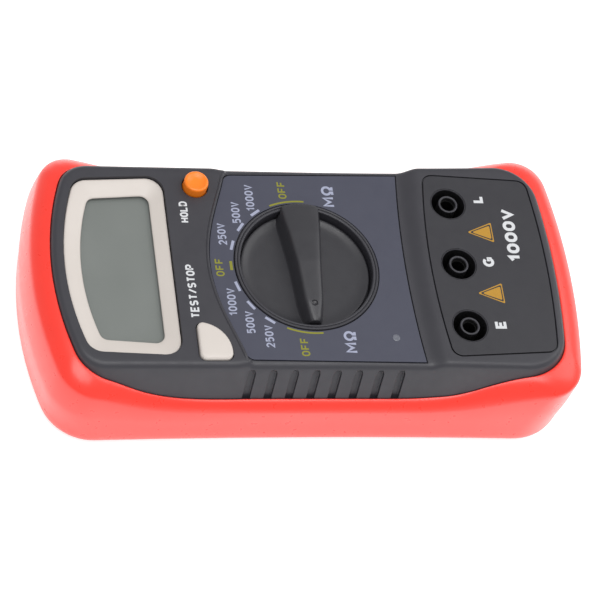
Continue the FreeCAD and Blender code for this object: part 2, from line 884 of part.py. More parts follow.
def main_board():
    board = slab(at_height(case_outline(board_top_z, case_wall + board_edge_gap), board_bottom_z),
                 board_thickness)
    holes = [rod(case_boss_radius + 2.0 * screw_hole_fit, x, y, 0, above_all) for x, y in case_screw_spots]
    holes += [rod(board_screw_radius + screw_hole_fit, x, y, 0, above_all) for x, y in board_screw_spots]
    holes += [rod(jack_bush_radius + screw_hole_fit, x, jack_y, 0, above_all) for x, name in jack_spots]
    return board.cut(holes)


def handle_section(x, half_top, top_z):
    """The handle across its length: flared walls and a crowned top."""
    base_z = knob_disc_top_z - 0.2
    half_foot = half_top + knob_foot_flare
    crown = half_top * 0.65
    points = [
        V(x, -half_foot, base_z),
        V(x, -half_top, top_z - 0.5),
        V(x, -crown, top_z),
        V(x, crown, top_z),
        V(x, half_top, top_z - 0.5),
        V(x, half_foot, base_z),
    ]
    return Part.makePolygon(points + [points[0]])


def knob_handle():
    """A bar across the knob, wide at its blunt end and narrow at its pointing end."""
    tip_x = knob_radius - 0.3
    stations = (
        (-tip_x, 1.5, knob_top_z - 2.1),
        (-0.64 * knob_radius, 2.6, knob_top_z - 0.8),
        (0.0, 3.4, knob_top_z),
        (0.54 * knob_radius, 4.5, knob_top_z - 0.3),
        (tip_x, 5.5, knob_top_z - 1.3),
    )
    handle = Part.makeLoft([handle_section(*station) for station in stations], True, False)
    return handle.common(rod(knob_radius - knob_edge_margin, 0, 0, 0, above_all))


def selector_knob():
    disc = rod(knob_radius, 0, 0, knob_disc_z, knob_disc_top_z)
    disc = disc.makeFillet(knob_disc_round, highest(disc).OuterWire.Edges)
    post = rod(knob_post_radius, 0, 0, rotor_bottom_z + 0.3, knob_disc_z + 0.2)
    return disc.fuse([knob_handle(), post])


def pocket_rod(side, radius, start, end):
    """A rod along x in the rotor's thickness, on its right (1) or left (-1)."""
    ends = sorted((side * start, side * end))
    return bar(radius, ends[0], ends[1], 0.0, rotor_mid_z)


def switch_rotor():
    disc = rod(rotor_radius, 0, 0, rotor_bottom_z, rotor_top_z)
    slots = []
    for side in (-1.0, 1.0):
        ends = sorted((side * (spring_start - 0.1), side * (rotor_radius + 1.0)))
        slots.append(box(ends[0], ends[1], -ball_radius - 0.05, ball_radius + 0.05,
                         rotor_bottom_z - 1.0, rotor_top_z + 1.0))
    return disc.cut(slots + [rod(knob_post_radius + 0.02, 0, 0, 0, above_all)])


def ball_reach():
    return well_ledge_radius - ball_gap - ball_radius


def detent_balls():
    radius = min(ball_radius, rotor_thickness / 2.0) - 0.02
    return group([Part.makeSphere(radius, V(side * ball_reach(), 0, rotor_mid_z)) for side in (-1.0, 1.0)])


def detent_springs():
    outer = rotor_thickness / 2.0 - 0.05
    end = ball_reach() - ball_radius
    springs = []
    for side in (-1.0, 1.0):
        coil = pocket_rod(side, outer, spring_start, end)
        springs.append(coil.cut(pocket_rod(side, outer - spring_wire, spring_start - 1.0, end + 1.0)))
    return group(springs)


def wiper_contacts():
    low_z = board_top_z + 0.1
    foot_x = wiper_half_length - wiper_foot
    wipers = []
    for radius in wiper_radii:
        strip = block(0.0, radius, 2.0 * wiper_half_length, 2.0 * wiper_half_width,
                      rotor_bottom_z - wiper_thickness, rotor_bottom_z)
        feet = [block(x, radius, 2.0 * wiper_foot, 2.0 * wiper_half_width, low_z, rotor_bottom_z - 0.1)
                for x in (-foot_x, foot_x)]
        wipers.append(joined(strip, feet))
    return group(wipers)


def inside_case(shape, clearance):
    return shape.common(case_form(case_wall + clearance, parting_z, case_top_z))


def hold_key():
    cap = rod(hold_radius, hold_x, hold_y, key_flange_bottom_z, hold_top_z)
    cap = cap.makeFillet(hold_round, highest(cap).OuterWire.Edges)
    flange = rod(hold_radius + key_flange, hold_x, hold_y, key_flange_bottom_z, key_flange_top_z)
    return joined(cap, inside_case(flange, key_gap))


def test_key():
    cap = slab(test_key_outline(0.0, key_flange_bottom_z), test_top_z - key_flange_bottom_z)
    cap = cap.makeFillet(test_round, highest(cap).OuterWire.Edges)
    flange = slab(test_key_outline(key_flange, key_flange_bottom_z), key_flange_thickness)
    foot = cap.common(slab(test_key_outline(1.0, key_flange_bottom_z), key_flange_thickness))
    head = cap.cut(foot)
    return joined(head, [inside_case(foot, key_gap), inside_case(flange, key_gap)])


def push_switch(x, y):
    body = block(x, y, switch_size, switch_size, board_top_z, board_top_z + switch_height)
    return body.cut(rod(plunger_radius + 0.1, x, y, board_top_z + switch_floor, above_all))


def push_plunger(x, y):
    low_z = board_top_z + switch_floor + key_travel + 0.1
    return rod(plunger_radius, x, y, low_z, key_flange_bottom_z)


def jack_bush(x):
    """An insulating sleeve with a boss inside it; the gap between them takes a plug's shroud."""
    inner_z = jack_bush_bottom_z + jack_bush_floor
    sleeve = rod(jack_bush_radius, x, jack_y, jack_bush_bottom_z, jack_face_z)
    return sleeve.cut([
        ring(jack_recess_radius, jack_boss_radius, x, jack_y, inner_z, above_all),
        rod(jack_tube_radius + jack_fit, x, jack_y, inner_z, jack_face_z - jack_mouth_depth),
        rod(jack_mouth_radius, x, jack_y, inner_z, above_all),
        rod(jack_tail_radius + jack_fit, x, jack_y, 0, above_all),
    ])


def jack_socket(x):
    low_z = jack_bush_bottom_z + jack_bush_floor + jack_fit
    top_z = jack_face_z - jack_mouth_depth - jack_fit
    tube = rod(jack_tube_radius, x, jack_y, low_z, top_z)
    tail = rod(jack_tail_radius, x, jack_y, jack_bush_bottom_z - jack_tail_length, low_z + 0.5)
    return joined(tube, tail).cut(rod(jack_bore_radius, x, jack_y, top_z - jack_bore_depth, above_all))


def jack_straps():
    """A tinned strip from each jack's tail to the circuit board."""
    top_z = jack_bush_bottom_z - jack_tail_length
    low_z = top_z - strap_thickness
    back_y = jack_y - strap_reach
    half = strap_width / 2.0
    straps = []
    for x, name in jack_spots:
        foot = box(x - half, x + half, back_y, jack_y + half, low_z, top_z)
        leg = box(x - half, x + half, back_y, back_y + strap_thickness, low_z, board_bottom_z)
        straps.append(joined(foot, leg))
    return group(straps)


def cross_slot(x, y, z):
    sizes = ((slot_half_length, slot_half_width), (slot_half_width, slot_half_length))
    bars = [block(x, y, 2.0 * sx, 2.0 * sy, z - 1.0, z + slot_depth) for sx, sy in sizes]
    return bars[0].fuse(bars[1])


def screw(x, y, head_radius, head_height, radius, length, seat_z):
    """A screw driven upwards, whose head's upper side meets its seat at seat_z."""
    head = rod(head_radius, x, y, seat_z - head_height, seat_z)
    shank = rod(radius, x, y, seat_z - 0.5, seat_z + length)
    return joined(head, shank).cut(cross_slot(x, y, seat_z - head_height))


def case_screws():
    return group([screw(x, y, case_screw_head_radius, case_screw_head_height, case_screw_radius,
                        case_screw_length, case_screw_seat_z) for x, y in case_screw_spots])


def board_screws():
    return group([screw(x, y, board_screw_head_radius, board_screw_head_height, board_screw_radius,
                        board_screw_length, board_bottom_z) for x, y in board_screw_spots])


def battery_studs(grow, length):
    x1 = battery_box(0.0)[1] - 0.1
    return [bar(radius + grow, x1, x1 + length, battery_y + offset, battery_mid_z)
            for radius, offset in studs]


def battery():
    x0, x1, y0, y1 = battery_box(0.0)
    body = box(x0, x1, y0, y1, battery_bottom_z, battery_bottom_z + battery_height)
    body = body.makeFillet(battery_round, edges_along(body, X_AXIS))
    return body.fuse(battery_studs(0.0, stud_length))


def snap_back_x():
    return battery_box(0.0)[1] + 0.3 + snap_thickness


def battery_snap():
    x1 = snap_back_x()
    plate = box(x1 - snap_thickness, x1, battery_y - snap_half_width, battery_y + snap_half_width,
                battery_mid_z - snap_half_height, battery_mid_z + snap_half_height)
    return plate.cut(battery_studs(jack_fit, stud_length + jack_fit))


def battery_leads():
    """Two short wires from the snap up to the circuit board."""
    turn_x = snap_back_x() + lead_reach
    leads = []
    for y in (battery_y - lead_spread, battery_y + lead_spread):
        start = V(snap_back_x(), y, battery_mid_z)
        first = V(turn_x - lead_bend, y, battery_mid_z)
        last = V(turn_x, y, battery_mid_z + lead_bend)
        middle = V(turn_x - lead_bend * (1.0 - math.sin(math.pi / 4)), y,
                   battery_mid_z + lead_bend * (1.0 - math.cos(math.pi / 4)))
        path = Part.Wire([
            Part.makeLine(start, first),
            Part.Arc(first, middle, last).toShape(),
            Part.makeLine(last, V(turn_x, y, board_bottom_z)),
        ])
        profile = Part.Wire(Part.makeCircle(lead_radius, start, X_AXIS))
        leads.append(path.makePipeShell([profile], True, False))
    return group(leads)


def under_board(spot, size_x, size_y, height):
    return block(spot[0], spot[1], size_x, size_y, board_bottom_z - height, board_bottom_z)


def transformer_core():
    """A ferrite block with a window each side of its middle limb."""
    x, y = transformer_spot
    top_z = board_bottom_z - transformer_limb
    low_z = board_bottom_z - transformer_depth + transformer_limb
    window = transformer_side / 2.0 - 2.0 * transformer_limb
    body = under_board(transformer_spot, transformer_side, transformer_side, transformer_depth)
    offset = transformer_limb + window / 2.0
    return body.cut([block(x + side * offset, y, window, 2.0 * transformer_side, low_z, top_z)
                     for side in (-1.0, 1.0)])


def transformer_winding():
    """The coil around the core's middle limb, standing out at both sides."""
    x, y = transformer_spot
    top_z = board_bottom_z - transformer_limb - winding_gap
    low_z = board_bottom_z - transformer_depth + transformer_limb + winding_gap
    limb = 2.0 * (transformer_limb + winding_gap)
    width = transformer_side - 2.0 * (transformer_limb + winding_gap)
    depth = transformer_side + 2.0 * (winding_gap + winding_bulge)
    coil = block(x, y, width, depth, low_z, top_z)
    return coil.cut(block(x, y, limb, transformer_side + 2.0 * winding_gap, 0, above_all))


def high_voltage_capacitors():
    parts = []
    for x in capacitor_xs:
        can = Part.makeCylinder(capacitor_radius, capacitor_length,
                                V(x, capacitor_y, board_bottom_z - capacitor_radius - 0.3), Y_AXIS)
        leg = rod(wire_radius, x, capacitor_y + 2.0, board_bottom_z - 1.0, board_bottom_z)
        parts.append(joined(can, leg))
    return group(parts)


def chip(spot, size, pins):
    body = under_board(spot, size[0], size[1], chip_thickness)
    body.translate(V(0, 0, -chip_standoff))
    pitch = size[0] / (pins + 1.0)
    first_x = spot[0] - size[0] / 2.0
    legs = [under_board((first_x + pitch * (index + 1), spot[1]), 2.0 * pin_half_width,
                        size[1] + 2.0 * pin_reach, 1.3 * chip_standoff) for index in range(pins)]
    return body.fuse(legs)


def buzzer():
    low_z = board_bottom_z - buzzer_height
    body = rod(buzzer_radius, buzzer_spot[0], buzzer_spot[1], low_z, board_bottom_z)
    return body.cut(rod(buzzer_hole_radius, buzzer_spot[0], buzzer_spot[1], low_z - 1.0, low_z + 1.5))


def trimmers():
    parts = []
    low_z = board_bottom_z - trimmer_height
    for y in trimmer_ys:
        body = under_board((trimmer_x, y), trimmer_size, trimmer_size, trimmer_height)
        dial = rod(trimmer_screw_radius, trimmer_x, y, low_z - 0.5, low_z + 0.1)
        slot = block(trimmer_x, y, 2.0 * trimmer_screw_radius, 2.0 * slot_half_width,
                     low_z - 1.0, low_z - 0.1)
        parts.append(joined(body, dial).cut(slot))
    return group(parts)


def input_resistors():
    """A resistor lying between each two jacks, on bent wire legs."""
    z = board_bottom_z - resistor_drop
    half = resistor_length / 2.0
    parts = []
    for x in (-jack_pitch / 2.0, jack_pitch / 2.0):
        body = Part.makeCylinder(resistor_radius, resistor_length, V(x, jack_y - half, z), Y_AXIS)
        wire = Part.makeCylinder(wire_radius, resistor_length + 2.0 * resistor_lead,
                                 V(x, jack_y - half - resistor_lead, z), Y_AXIS)
        legs = [rod(resistor_leg_radius, x, jack_y + side * (half + resistor_lead),
                    z - resistor_leg_radius, board_bottom_z)
                for side in (-1.0, 1.0)]
        parts.append(joined(body, [wire] + legs))
    return group(parts)


def lamp_lens():
    flange_z = dial_inner_z - lamp_flange_thickness - 0.1
    lens = rod(lamp_radius, lamp_x, lamp_y, flange_z, dial_face_z + label_thickness - label_recess)
    flange = rod(lamp_radius + lamp_flange, lamp_x, lamp_y, flange_z, flange_z + lamp_flange_thickness)
    return joined(lens, flange)


def lamp_diode():
    return block(lamp_x, lamp_y, diode_size[0], diode_size[1], board_top_z, board_top_z + diode_size[2])


def all_nodes():
    nodes = {
        "holster": holster(),
        "front_case": front_case(),
        "rear_case": rear_case(),
        "battery_door": battery_door(),
        "face_label": face_label(),
        "jack_panel": jack_panel(),
        "display_bezel": display_bezel(),
        "display_window": display_window(),
        "lcd_panel": lcd_panel(),
        "lcd_frame": lcd_frame(),
        "zebra_strips": zebra_strips(),
        "main_board": main_board(),
        "selector_knob": selector_knob(),
        "switch_rotor": switch_rotor(),
        "detent_balls": detent_balls(),
        "detent_springs": detent_springs(),
        "wiper_contacts": wiper_contacts(),
        "hold_key": hold_key(),
        "hold_plunger": push_plunger(hold_x, hold_y),
        "hold_switch": push_switch(hold_x, hold_y),
        "test_key": test_key(),
        "test_plunger": push_plunger(test_switch_x, test_switch_y),
        "test_switch": push_switch(test_switch_x, test_switch_y),
        "jack_straps": jack_straps(),
        "case_screws": case_screws(),
        "board_screws": board_screws(),
        "door_screw": door_screw(),
        "battery": battery(),
        "battery_snap": battery_snap(),
        "battery_leads": battery_leads(),
        "transformer_core": transformer_core(),
        "transformer_winding": transformer_winding(),
        "high_voltage_capacitors": high_voltage_capacitors(),
        "measuring_chip": chip(measuring_chip_spot, measuring_chip_size, measuring_chip_pins),
        "control_chip": chip(control_chip_spot, control_chip_size, control_chip_pins),
        "buzzer": buzzer(),
        "trimmers": trimmers(),
        "input_resistors": input_resistors(),
        "lamp_lens": lamp_lens(),
        "lamp_diode": lamp_diode(),
        "tilt_stand": tilt_stand(),
        "stand_pin": stand_pin(),
    }
    for x, name in jack_spots:
        nodes[name + "_jack_bush"] = jack_bush(x)
        nodes[name + "_jack_socket"] = jack_socket(x)
    return nodes


def main():
    os.makedirs("parts", exist_ok=True)
    for name, shape in all_nodes().items():
        solids = shape.Solids
        print(name, len(solids), "solid(s)", round(sum(solid.Volume for solid in solids), 1), shape.isValid())
        shape.exportStep("parts/" + name + ".step")


main()
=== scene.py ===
import json
import math

import bmesh
import bpy
import numpy as np
from mathutils import Matrix, Vector


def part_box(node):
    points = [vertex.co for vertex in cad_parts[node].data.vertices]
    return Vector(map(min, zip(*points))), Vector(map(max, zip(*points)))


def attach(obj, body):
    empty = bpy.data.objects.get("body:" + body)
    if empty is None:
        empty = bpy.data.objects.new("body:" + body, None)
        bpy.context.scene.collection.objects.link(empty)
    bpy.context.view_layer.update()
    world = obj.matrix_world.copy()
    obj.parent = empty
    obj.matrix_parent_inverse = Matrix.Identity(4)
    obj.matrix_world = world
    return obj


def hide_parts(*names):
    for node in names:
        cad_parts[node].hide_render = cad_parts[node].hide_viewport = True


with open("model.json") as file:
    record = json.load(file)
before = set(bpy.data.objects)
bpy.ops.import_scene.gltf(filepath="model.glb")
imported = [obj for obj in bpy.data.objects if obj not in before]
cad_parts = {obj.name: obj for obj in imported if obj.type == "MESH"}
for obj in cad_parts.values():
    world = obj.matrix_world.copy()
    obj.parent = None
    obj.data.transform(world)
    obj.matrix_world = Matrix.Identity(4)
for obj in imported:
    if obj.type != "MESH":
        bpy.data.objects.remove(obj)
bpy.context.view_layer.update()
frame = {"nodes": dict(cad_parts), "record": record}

# All sizes below are in millimetres in the model's own frame, and become metres in the meshes.
MM = 0.001


def node_box(node):
    low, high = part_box(node)
    return np.array(low) / MM, np.array(high) / MM


CASE_LOW, CASE_HIGH = node_box("front_case")
HOLSTER_LOW, HOLSTER_HIGH = node_box("holster")
LABEL_LOW, LABEL_HIGH = node_box("face_label")
PANEL_LOW, PANEL_HIGH = node_box("jack_panel")
BEZEL_LOW, BEZEL_HIGH = node_box("display_bezel")
KNOB_HIGH = node_box("selector_knob")[1]
HOLD_LOW, HOLD_HIGH = node_box("hold_key")
TEST_LOW, TEST_HIGH = node_box("test_key")
LAMP_LOW, LAMP_HIGH = node_box("lamp_lens")
STAND_LOW, STAND_HIGH = node_box("tilt_stand")
JACKS = {name: node_box(name + "_jack_bush") for name in ("line", "guard", "earth")}

# Levels of the face
PARTING_Z = CASE_LOW[2]
JACK_Z = CASE_HIGH[2]
DISPLAY_Z = JACK_Z - 1.4
DIAL_Z = JACK_Z - 2.2
CASE_TOP_Z = JACK_Z + 1.0


# ---------------------------------------------------------------- outlines

# The case at its parting line, and how far each wall leans in up to the top. Pairs of values
# are for the display end and the jack end.
CASE_MID_HALF = 37.6
CASE_END_WIDER = (0.3, 0.5)
CASE_MID_LEAN = 6.4
CASE_SIDE_LEANS = (6.7, 5.1)
CASE_END_LEANS = (3.8, 4.6)
CASE_END_RADII = (85.0, 210.0)
CASE_CORNERS = (8.5, 12.0)
DISPLAY_FLARE = 0.7
DISPLAY_FLARE_RUN = 4.0
JACK_FLARE = 1.3
JACK_FLARE_RUN = 7.0
SIDE_RIDGE_DROP = 8.0
FLARE_MID_X = 20.0


def case_rise(z):
    """Share of the case's height, 0 at the parting line and 1 at the top."""
    return (z - PARTING_Z) / (CASE_TOP_Z - PARTING_Z)


def case_sizes(z, inset):
    """Half-widths at the display end, the middle and the jack end, then the two ends' y."""
    rise = case_rise(z)
    wide_high = CASE_MID_HALF + CASE_END_WIDER[0] - CASE_SIDE_LEANS[0] * rise - inset
    wide_mid = CASE_MID_HALF - CASE_MID_LEAN * rise - inset
    wide_low = CASE_MID_HALF + CASE_END_WIDER[1] - CASE_SIDE_LEANS[1] * rise - inset
    y_high = CASE_HIGH[1] - CASE_END_LEANS[0] * rise - inset
    y_low = CASE_LOW[1] + CASE_END_LEANS[1] * rise + inset
    return (wide_high, wide_mid, wide_low), y_high, y_low


def case_loop(z, inset, spacing):
    widths, y_high, y_low = case_sizes(z, inset)
    radii = (CASE_END_RADII[0] - inset, CASE_END_RADII[1] - inset)
    corners = tuple(corner - inset for corner in CASE_CORNERS)
    loop = rounded_loop(widths, y_high, y_low, radii, corners, spacing)
    loop[:, 0] += flare(loop) * case_rise(z)
    return loop


def flare(loop):
    """How far the display and jack sections stand out at the top beside the dial section."""
    ramp_y = LABEL_LOW[1]
    ridge_side_y = LABEL_HIGH[1] - SIDE_RIDGE_DROP
    jack = JACK_FLARE * smoothstep(ramp_y, ramp_y - JACK_FLARE_RUN, loop[:, 1])
    display = DISPLAY_FLARE * smoothstep(ridge_side_y, ridge_side_y + DISPLAY_FLARE_RUN, loop[:, 1])
    return (jack + display) * np.clip(loop[:, 0] / FLARE_MID_X, -1.0, 1.0)


def rounded_loop(widths, y_high, y_low, radii, corners, spacing):
    """Points around a case-like outline, anticlockwise from the foot of its right side.

    spacing holds the share of the side at each point, and the counts for a corner and an end."""
    side_shares, corner_count, end_count = spacing
    wide_high, wide_mid, wide_low = widths

    def side_at(y):
        if y >= 0:
            return wide_mid + (wide_high - wide_mid) * (y / y_high) ** 2
        return wide_mid + (wide_low - wide_mid) * (y / y_low) ** 2

    def corner_at(y_end, radius, corner, sign):
        center_x = wide_high - corner if sign > 0 else wide_low - corner
        hub = abs(y_end) - radius
        for _ in range(4):
            center_y = hub + math.sqrt((radius - corner) ** 2 - center_x ** 2)
            center_x = side_at(sign * center_y) - corner
        lean = math.atan2(center_x, center_y - hub)
        return center_x, center_y, lean, hub

    cx1, cy1, lean1, hub1 = corner_at(y_high, radii[0], corners[0], 1.0)
    cx2, cy2, lean2, hub2 = corner_at(y_low, radii[1], corners[1], -1.0)
    right = [(side_at(y), y) for y in (-cy2 + (cy1 + cy2) * share for share in side_shares)]
    quarter = np.linspace(0.0, math.pi / 2 - lean1, corner_count + 2)[1:-1]
    top_right = [(cx1 + corners[0] * math.cos(a), cy1 + corners[0] * math.sin(a)) for a in quarter]
    sweep = np.linspace(lean1, -lean1, end_count)
    top = [(radii[0] * math.sin(a), hub1 + radii[0] * math.cos(a)) for a in sweep]
    quarter = np.linspace(-math.pi / 2 + lean2, 0.0, corner_count + 2)[1:-1]
    low_right = [(cx2 + corners[1] * math.cos(a), -cy2 + corners[1] * math.sin(a)) for a in quarter]
    sweep = np.linspace(-lean2, lean2, end_count)
    low = [(radii[1] * math.sin(a), -hub2 - radii[1] * math.cos(a)) for a in sweep]
    mirror = [(-x, y) for x, y in reversed(right)]
    top_left = [(-x, y) for x, y in reversed(top_right)]
    low_left = [(-x, y) for x, y in reversed(low_right)]
    return np.array(right + top_right + top + top_left + mirror + low_left + low + low_right)


def arc_points(start, middle, end, count):
    """Points on the circle through three points."""
    ax, ay = start
    bx, by = middle
    cx, cy = end
    d = 2.0 * (ax * (by - cy) + bx * (cy - ay) + cx * (ay - by))
    a_square = ax ** 2 + ay ** 2
    b_square = bx ** 2 + by ** 2
    c_square = cx ** 2 + cy ** 2
    ux = (a_square * (by - cy) + b_square * (cy - ay) + c_square * (ay - by)) / d
    uy = (a_square * (cx - bx) + b_square * (ax - cx) + c_square * (bx - ax)) / d
    first = math.atan2(ay - uy, ax - ux)
    last = math.atan2(cy - uy, cx - ux)
    while last - first > math.pi:
        last -= 2.0 * math.pi
    while first - last > math.pi:
        last += 2.0 * math.pi
    radius = math.hypot(ax - ux, ay - uy)
    angles = np.linspace(first, last, count)
    return np.stack([ux + radius * np.cos(angles), uy + radius * np.sin(angles)], 1)


def line_points(start, end, count):
    shares = np.linspace(0.0, 1.0, count)[:, None]
    return np.array(start) * (1.0 - shares) + np.array(end) * shares


def trimmed(points, cut_start, cut_end, count):
    """A path again as evenly spaced points, less a length at its start and at its end."""
    steps = np.concatenate([[0.0], np.cumsum(np.linalg.norm(np.diff(points, axis=0), axis=1))])
    marks = np.linspace(cut_start, steps[-1] - cut_end, count)
    return np.stack([np.interp(marks, steps, points[:, axis]) for axis in (0, 1)], 1)


def round_corners(sides, radii, side_count=24, corner_count=8):
    """Joins open sides into one loop; radii[i] rounds the corner where side i starts."""
    total = len(sides)
    cuts = []
    for index in range(total):
        before = sides[index - 1]
        after = sides[index]
        a = before[-1] - before[-2]
        b = after[1] - after[0]
        turn = math.acos(float(np.clip(np.dot(a, b) / np.linalg.norm(a) / np.linalg.norm(b), -1.0, 1.0)))
        cuts.append((radii[index] * math.tan(turn / 2.0), turn))
    clipped = []
    for index in range(total):
        start = cuts[index][0]
        end = cuts[(index + 1) % total][0]
        side = trimmed(sides[index], start, end, len(sides[index]))
        clipped.append(trimmed(side, 0.0, 0.0, side_count))
    loop = []
    for index in range(total):
        cut, turn = cuts[index]
        if cut > 0:
            p0 = clipped[index - 1][-1]
            p1 = sides[index][0]
            p2 = clipped[index][0]
            weight = math.cos(turn / 2.0)
            for t in np.linspace(0.0, 1.0, corner_count + 2)[1:-1]:
                b0 = (1 - t) ** 2
                b1 = 2 * t * (1 - t) * weight
                b2 = t ** 2
                loop.append((b0 * p0 + b1 * p1 + b2 * p2) / (b0 + b1 + b2))
        loop.extend(clipped[index])
    return np.array(loop)


def arched_loop(top_half, shoulder_y, head_y, low_half, foot_corner_y, foot_y, radii):
    """An outline with straight sides, an arched head and an arched or flat foot."""
    right = (top_half, shoulder_y)
    left = (-top_half, shoulder_y)
    low_right = (low_half, foot_corner_y)
    low_left = (-low_half, foot_corner_y)
    foot = line_points(low_left, low_right, 30)
    if abs(foot_y - foot_corner_y) > 1e-6:
        foot = arc_points(low_left, (0.0, foot_y), low_right, 30)
    sides = [
        arc_points(right, (0.0, head_y), left, 40),
        line_points(left, low_left, 30),
        foot,
        line_points(low_right, right, 30),
    ]
    return round_corners(sides, radii)


def circle_loop(radius, x, y, count=96):
    angles = np.linspace(0.0, 2.0 * math.pi, count, endpoint=False)
    return np.stack([x + radius * np.cos(angles), y + radius * np.sin(angles)], 1)


def offset_loop(loop, distance):
    """Moves an anticlockwise loop outwards by a distance."""
    ahead = np.roll(loop, -1, axis=0) - np.roll(loop, 1, axis=0)
    ahead /= np.linalg.norm(ahead, axis=1)[:, None]
    return loop + np.stack([ahead[:, 1], -ahead[:, 0]], 1) * distance


# ---------------------------------------------------------------- meshes

def smoothstep(low, high, value):
    t = np.clip((value - low) / (high - low), 0.0, 1.0)
    return t * t * (3.0 - 2.0 * t)


def add_object(name, data):
    obj = bpy.data.objects.new(name, data)
    bpy.context.scene.collection.objects.link(obj)
    return obj


def add_mesh_object(name, bm):
    """A mesh object from a bmesh, which is used up."""
    mesh = bpy.data.meshes.new(name)
    bm.to_mesh(mesh)
    bm.free()
    return add_object(name, mesh)


def make_object(name, vertices, faces, sharp_deg=32.0):
    mesh = bpy.data.meshes.new(name)
    mesh.from_pydata([tuple(np.array(v) * MM) for v in vertices], [], faces)
    mesh.validate()
    bm = bmesh.new()
    bm.from_mesh(mesh)
    bmesh.ops.remove_doubles(bm, verts=bm.verts, dist=1e-7)
    bmesh.ops.recalc_face_normals(bm, faces=bm.faces)
    bm.to_mesh(mesh)
    bm.free()
    obj = add_object(name, mesh)
    shade(obj, sharp_deg)
    return obj


def shade(obj, sharp_deg):
    mesh = obj.data
    mesh.polygons.foreach_set("use_smooth", [True] * len(mesh.polygons))
    mesh.set_sharp_from_angle(angle=math.radians(sharp_deg))
    mesh.update()


def skin_object(name, rings, closed_section, sharp_deg, caps):
    """Quads between rings of as many points, with a face over the first and last if wanted."""
    count = len(rings[0])
    vertices = [point for ring in rings for point in ring]
    faces = []
    for ring in range(len(rings) if closed_section else len(rings) - 1):
        a = ring * count
        b = ((ring + 1) % len(rings)) * count
        for i in range(count):
            j = (i + 1) % count
            faces.append((a + i, a + j, b + j, b + i))
    last = (len(rings) - 1) * count
    if caps[0]:
        faces.append(tuple(range(count)))
    if caps[1]:
        faces.append(tuple(range(last, last + count)))
    return make_object(name, vertices, faces, sharp_deg)


def rails_object(name, rails, closed_section, sharp_deg=32.0, caps=(False, False)):
    """A skin over loops in plan: each rail is (points, heights)."""
    rings = [np.column_stack([points, np.broadcast_to(heights, len(points))]) for points, heights in rails]
    return skin_object(name, rings, closed_section, sharp_deg, caps)


def prism(name, loop, z0, z1):
    return rails_object(name, [(loop, z0), (loop, z1)], False, caps=(True, True))


def plate(name, outer, holes, z0, z1, bevel):
    """A flat plate of any outline, with holes through it and a small bevel."""
    bm = bmesh.new()
    edges = []
    for loop in [outer] + holes:
        verts = [bm.verts.new((x * MM, y * MM, z0 * MM)) for x, y in loop]
        edges += [bm.edges.new((verts[i], verts[(i + 1) % len(verts)])) for i in range(len(verts))]
    bmesh.ops.triangle_fill(bm, use_beauty=True, use_dissolve=False, edges=edges)
    faces = list(bm.faces)
    result = bmesh.ops.extrude_face_region(bm, geom=faces)
    moved = [item for item in result["geom"] if isinstance(item, bmesh.types.BMVert)]
    bmesh.ops.translate(bm, vec=(0, 0, (z1 - z0) * MM), verts=moved)
    bmesh.ops.recalc_face_normals(bm, faces=bm.faces)
    obj = add_mesh_object(name, bm)
    edges = obj.modifiers.new("edges", "BEVEL")
    edges.width = bevel * MM
    edges.segments = 2
    edges.limit_method = "ANGLE"
    edges.angle_limit = math.radians(40.0)
    edges.harden_normals = True
    shade(obj, 40.0)
    return obj


def lathe(name, profile, x, y, count=128, sharp_deg=32.0):
    """Turns a profile of (radius, z) points about an upright axis; a zero radius closes it."""
    rails = [(circle_loop(max(radius, 1e-4), x, y, count), z) for radius, z in profile]
    return rails_object(name, rails, False, sharp_deg)


def joined(name, objects):
    """One object from several, without their modifiers' leftovers."""
    bpy.context.view_layer.update()
    bm = bmesh.new()
    depsgraph = bpy.context.evaluated_depsgraph_get()
    for obj in objects:
        mesh = bpy.data.meshes.new_from_object(obj.evaluated_get(depsgraph))
        bm.from_mesh(mesh)
        bpy.data.meshes.remove(mesh)
    for obj in objects:
        bpy.data.objects.remove(obj, do_unlink=True)
    return add_mesh_object(name, bm)


def cut(obj, cutters, operation="DIFFERENCE"):
    """Takes the cutters out of an object, for good."""
    tool = joined("cutters", cutters)
    modifier = obj.modifiers.new("cut", "BOOLEAN")
    modifier.operation = operation
    modifier.solver = "EXACT"
    modifier.use_self = True
    modifier.object = tool
    bpy.context.view_layer.update()
    depsgraph = bpy.context.evaluated_depsgraph_get()
    mesh = bpy.data.meshes.new_from_object(obj.evaluated_get(depsgraph))
    obj.modifiers.clear()
    old = obj.data
    obj.data = mesh
    mesh.name = obj.name
    bpy.data.meshes.remove(old)
    bpy.data.objects.remove(tool, do_unlink=True)
    shade(obj, 32.0)
    return obj


# ---------------------------------------------------------------- materials

# The range in which most of a noise's values lie
NOISE_LOW = 0.3
NOISE_HIGH = 0.7


def new_material(name):
    material = bpy.data.materials.new(name)
    material.use_nodes = True
    tree = material.node_tree
    shader = tree.nodes["Principled BSDF"]
    coords = tree.nodes.new("ShaderNodeTexCoord")
    return material, tree, shader, coords.outputs["Object"]


def noise_node(tree, coords, size, detail=2.0):
    """A noise whose blobs are about the given size, in millimetres."""
    node = tree.nodes.new("ShaderNodeTexNoise")
    node.inputs["Scale"].default_value = 1.0 / (size * MM)
    node.inputs["Detail"].default_value = detail
    tree.links.new(coords, node.inputs["Vector"])
    return node.outputs["Fac"]


def vary_roughness(tree, shader, value, low, high):
    node = tree.nodes.new("ShaderNodeMapRange")
    node.inputs["From Min"].default_value = NOISE_LOW
    node.inputs["From Max"].default_value = NOISE_HIGH
    node.inputs["To Min"].default_value = low
    node.inputs["To Max"].default_value = high
    tree.links.new(value, node.inputs["Value"])
    tree.links.new(node.outputs["Result"], shader.inputs["Roughness"])


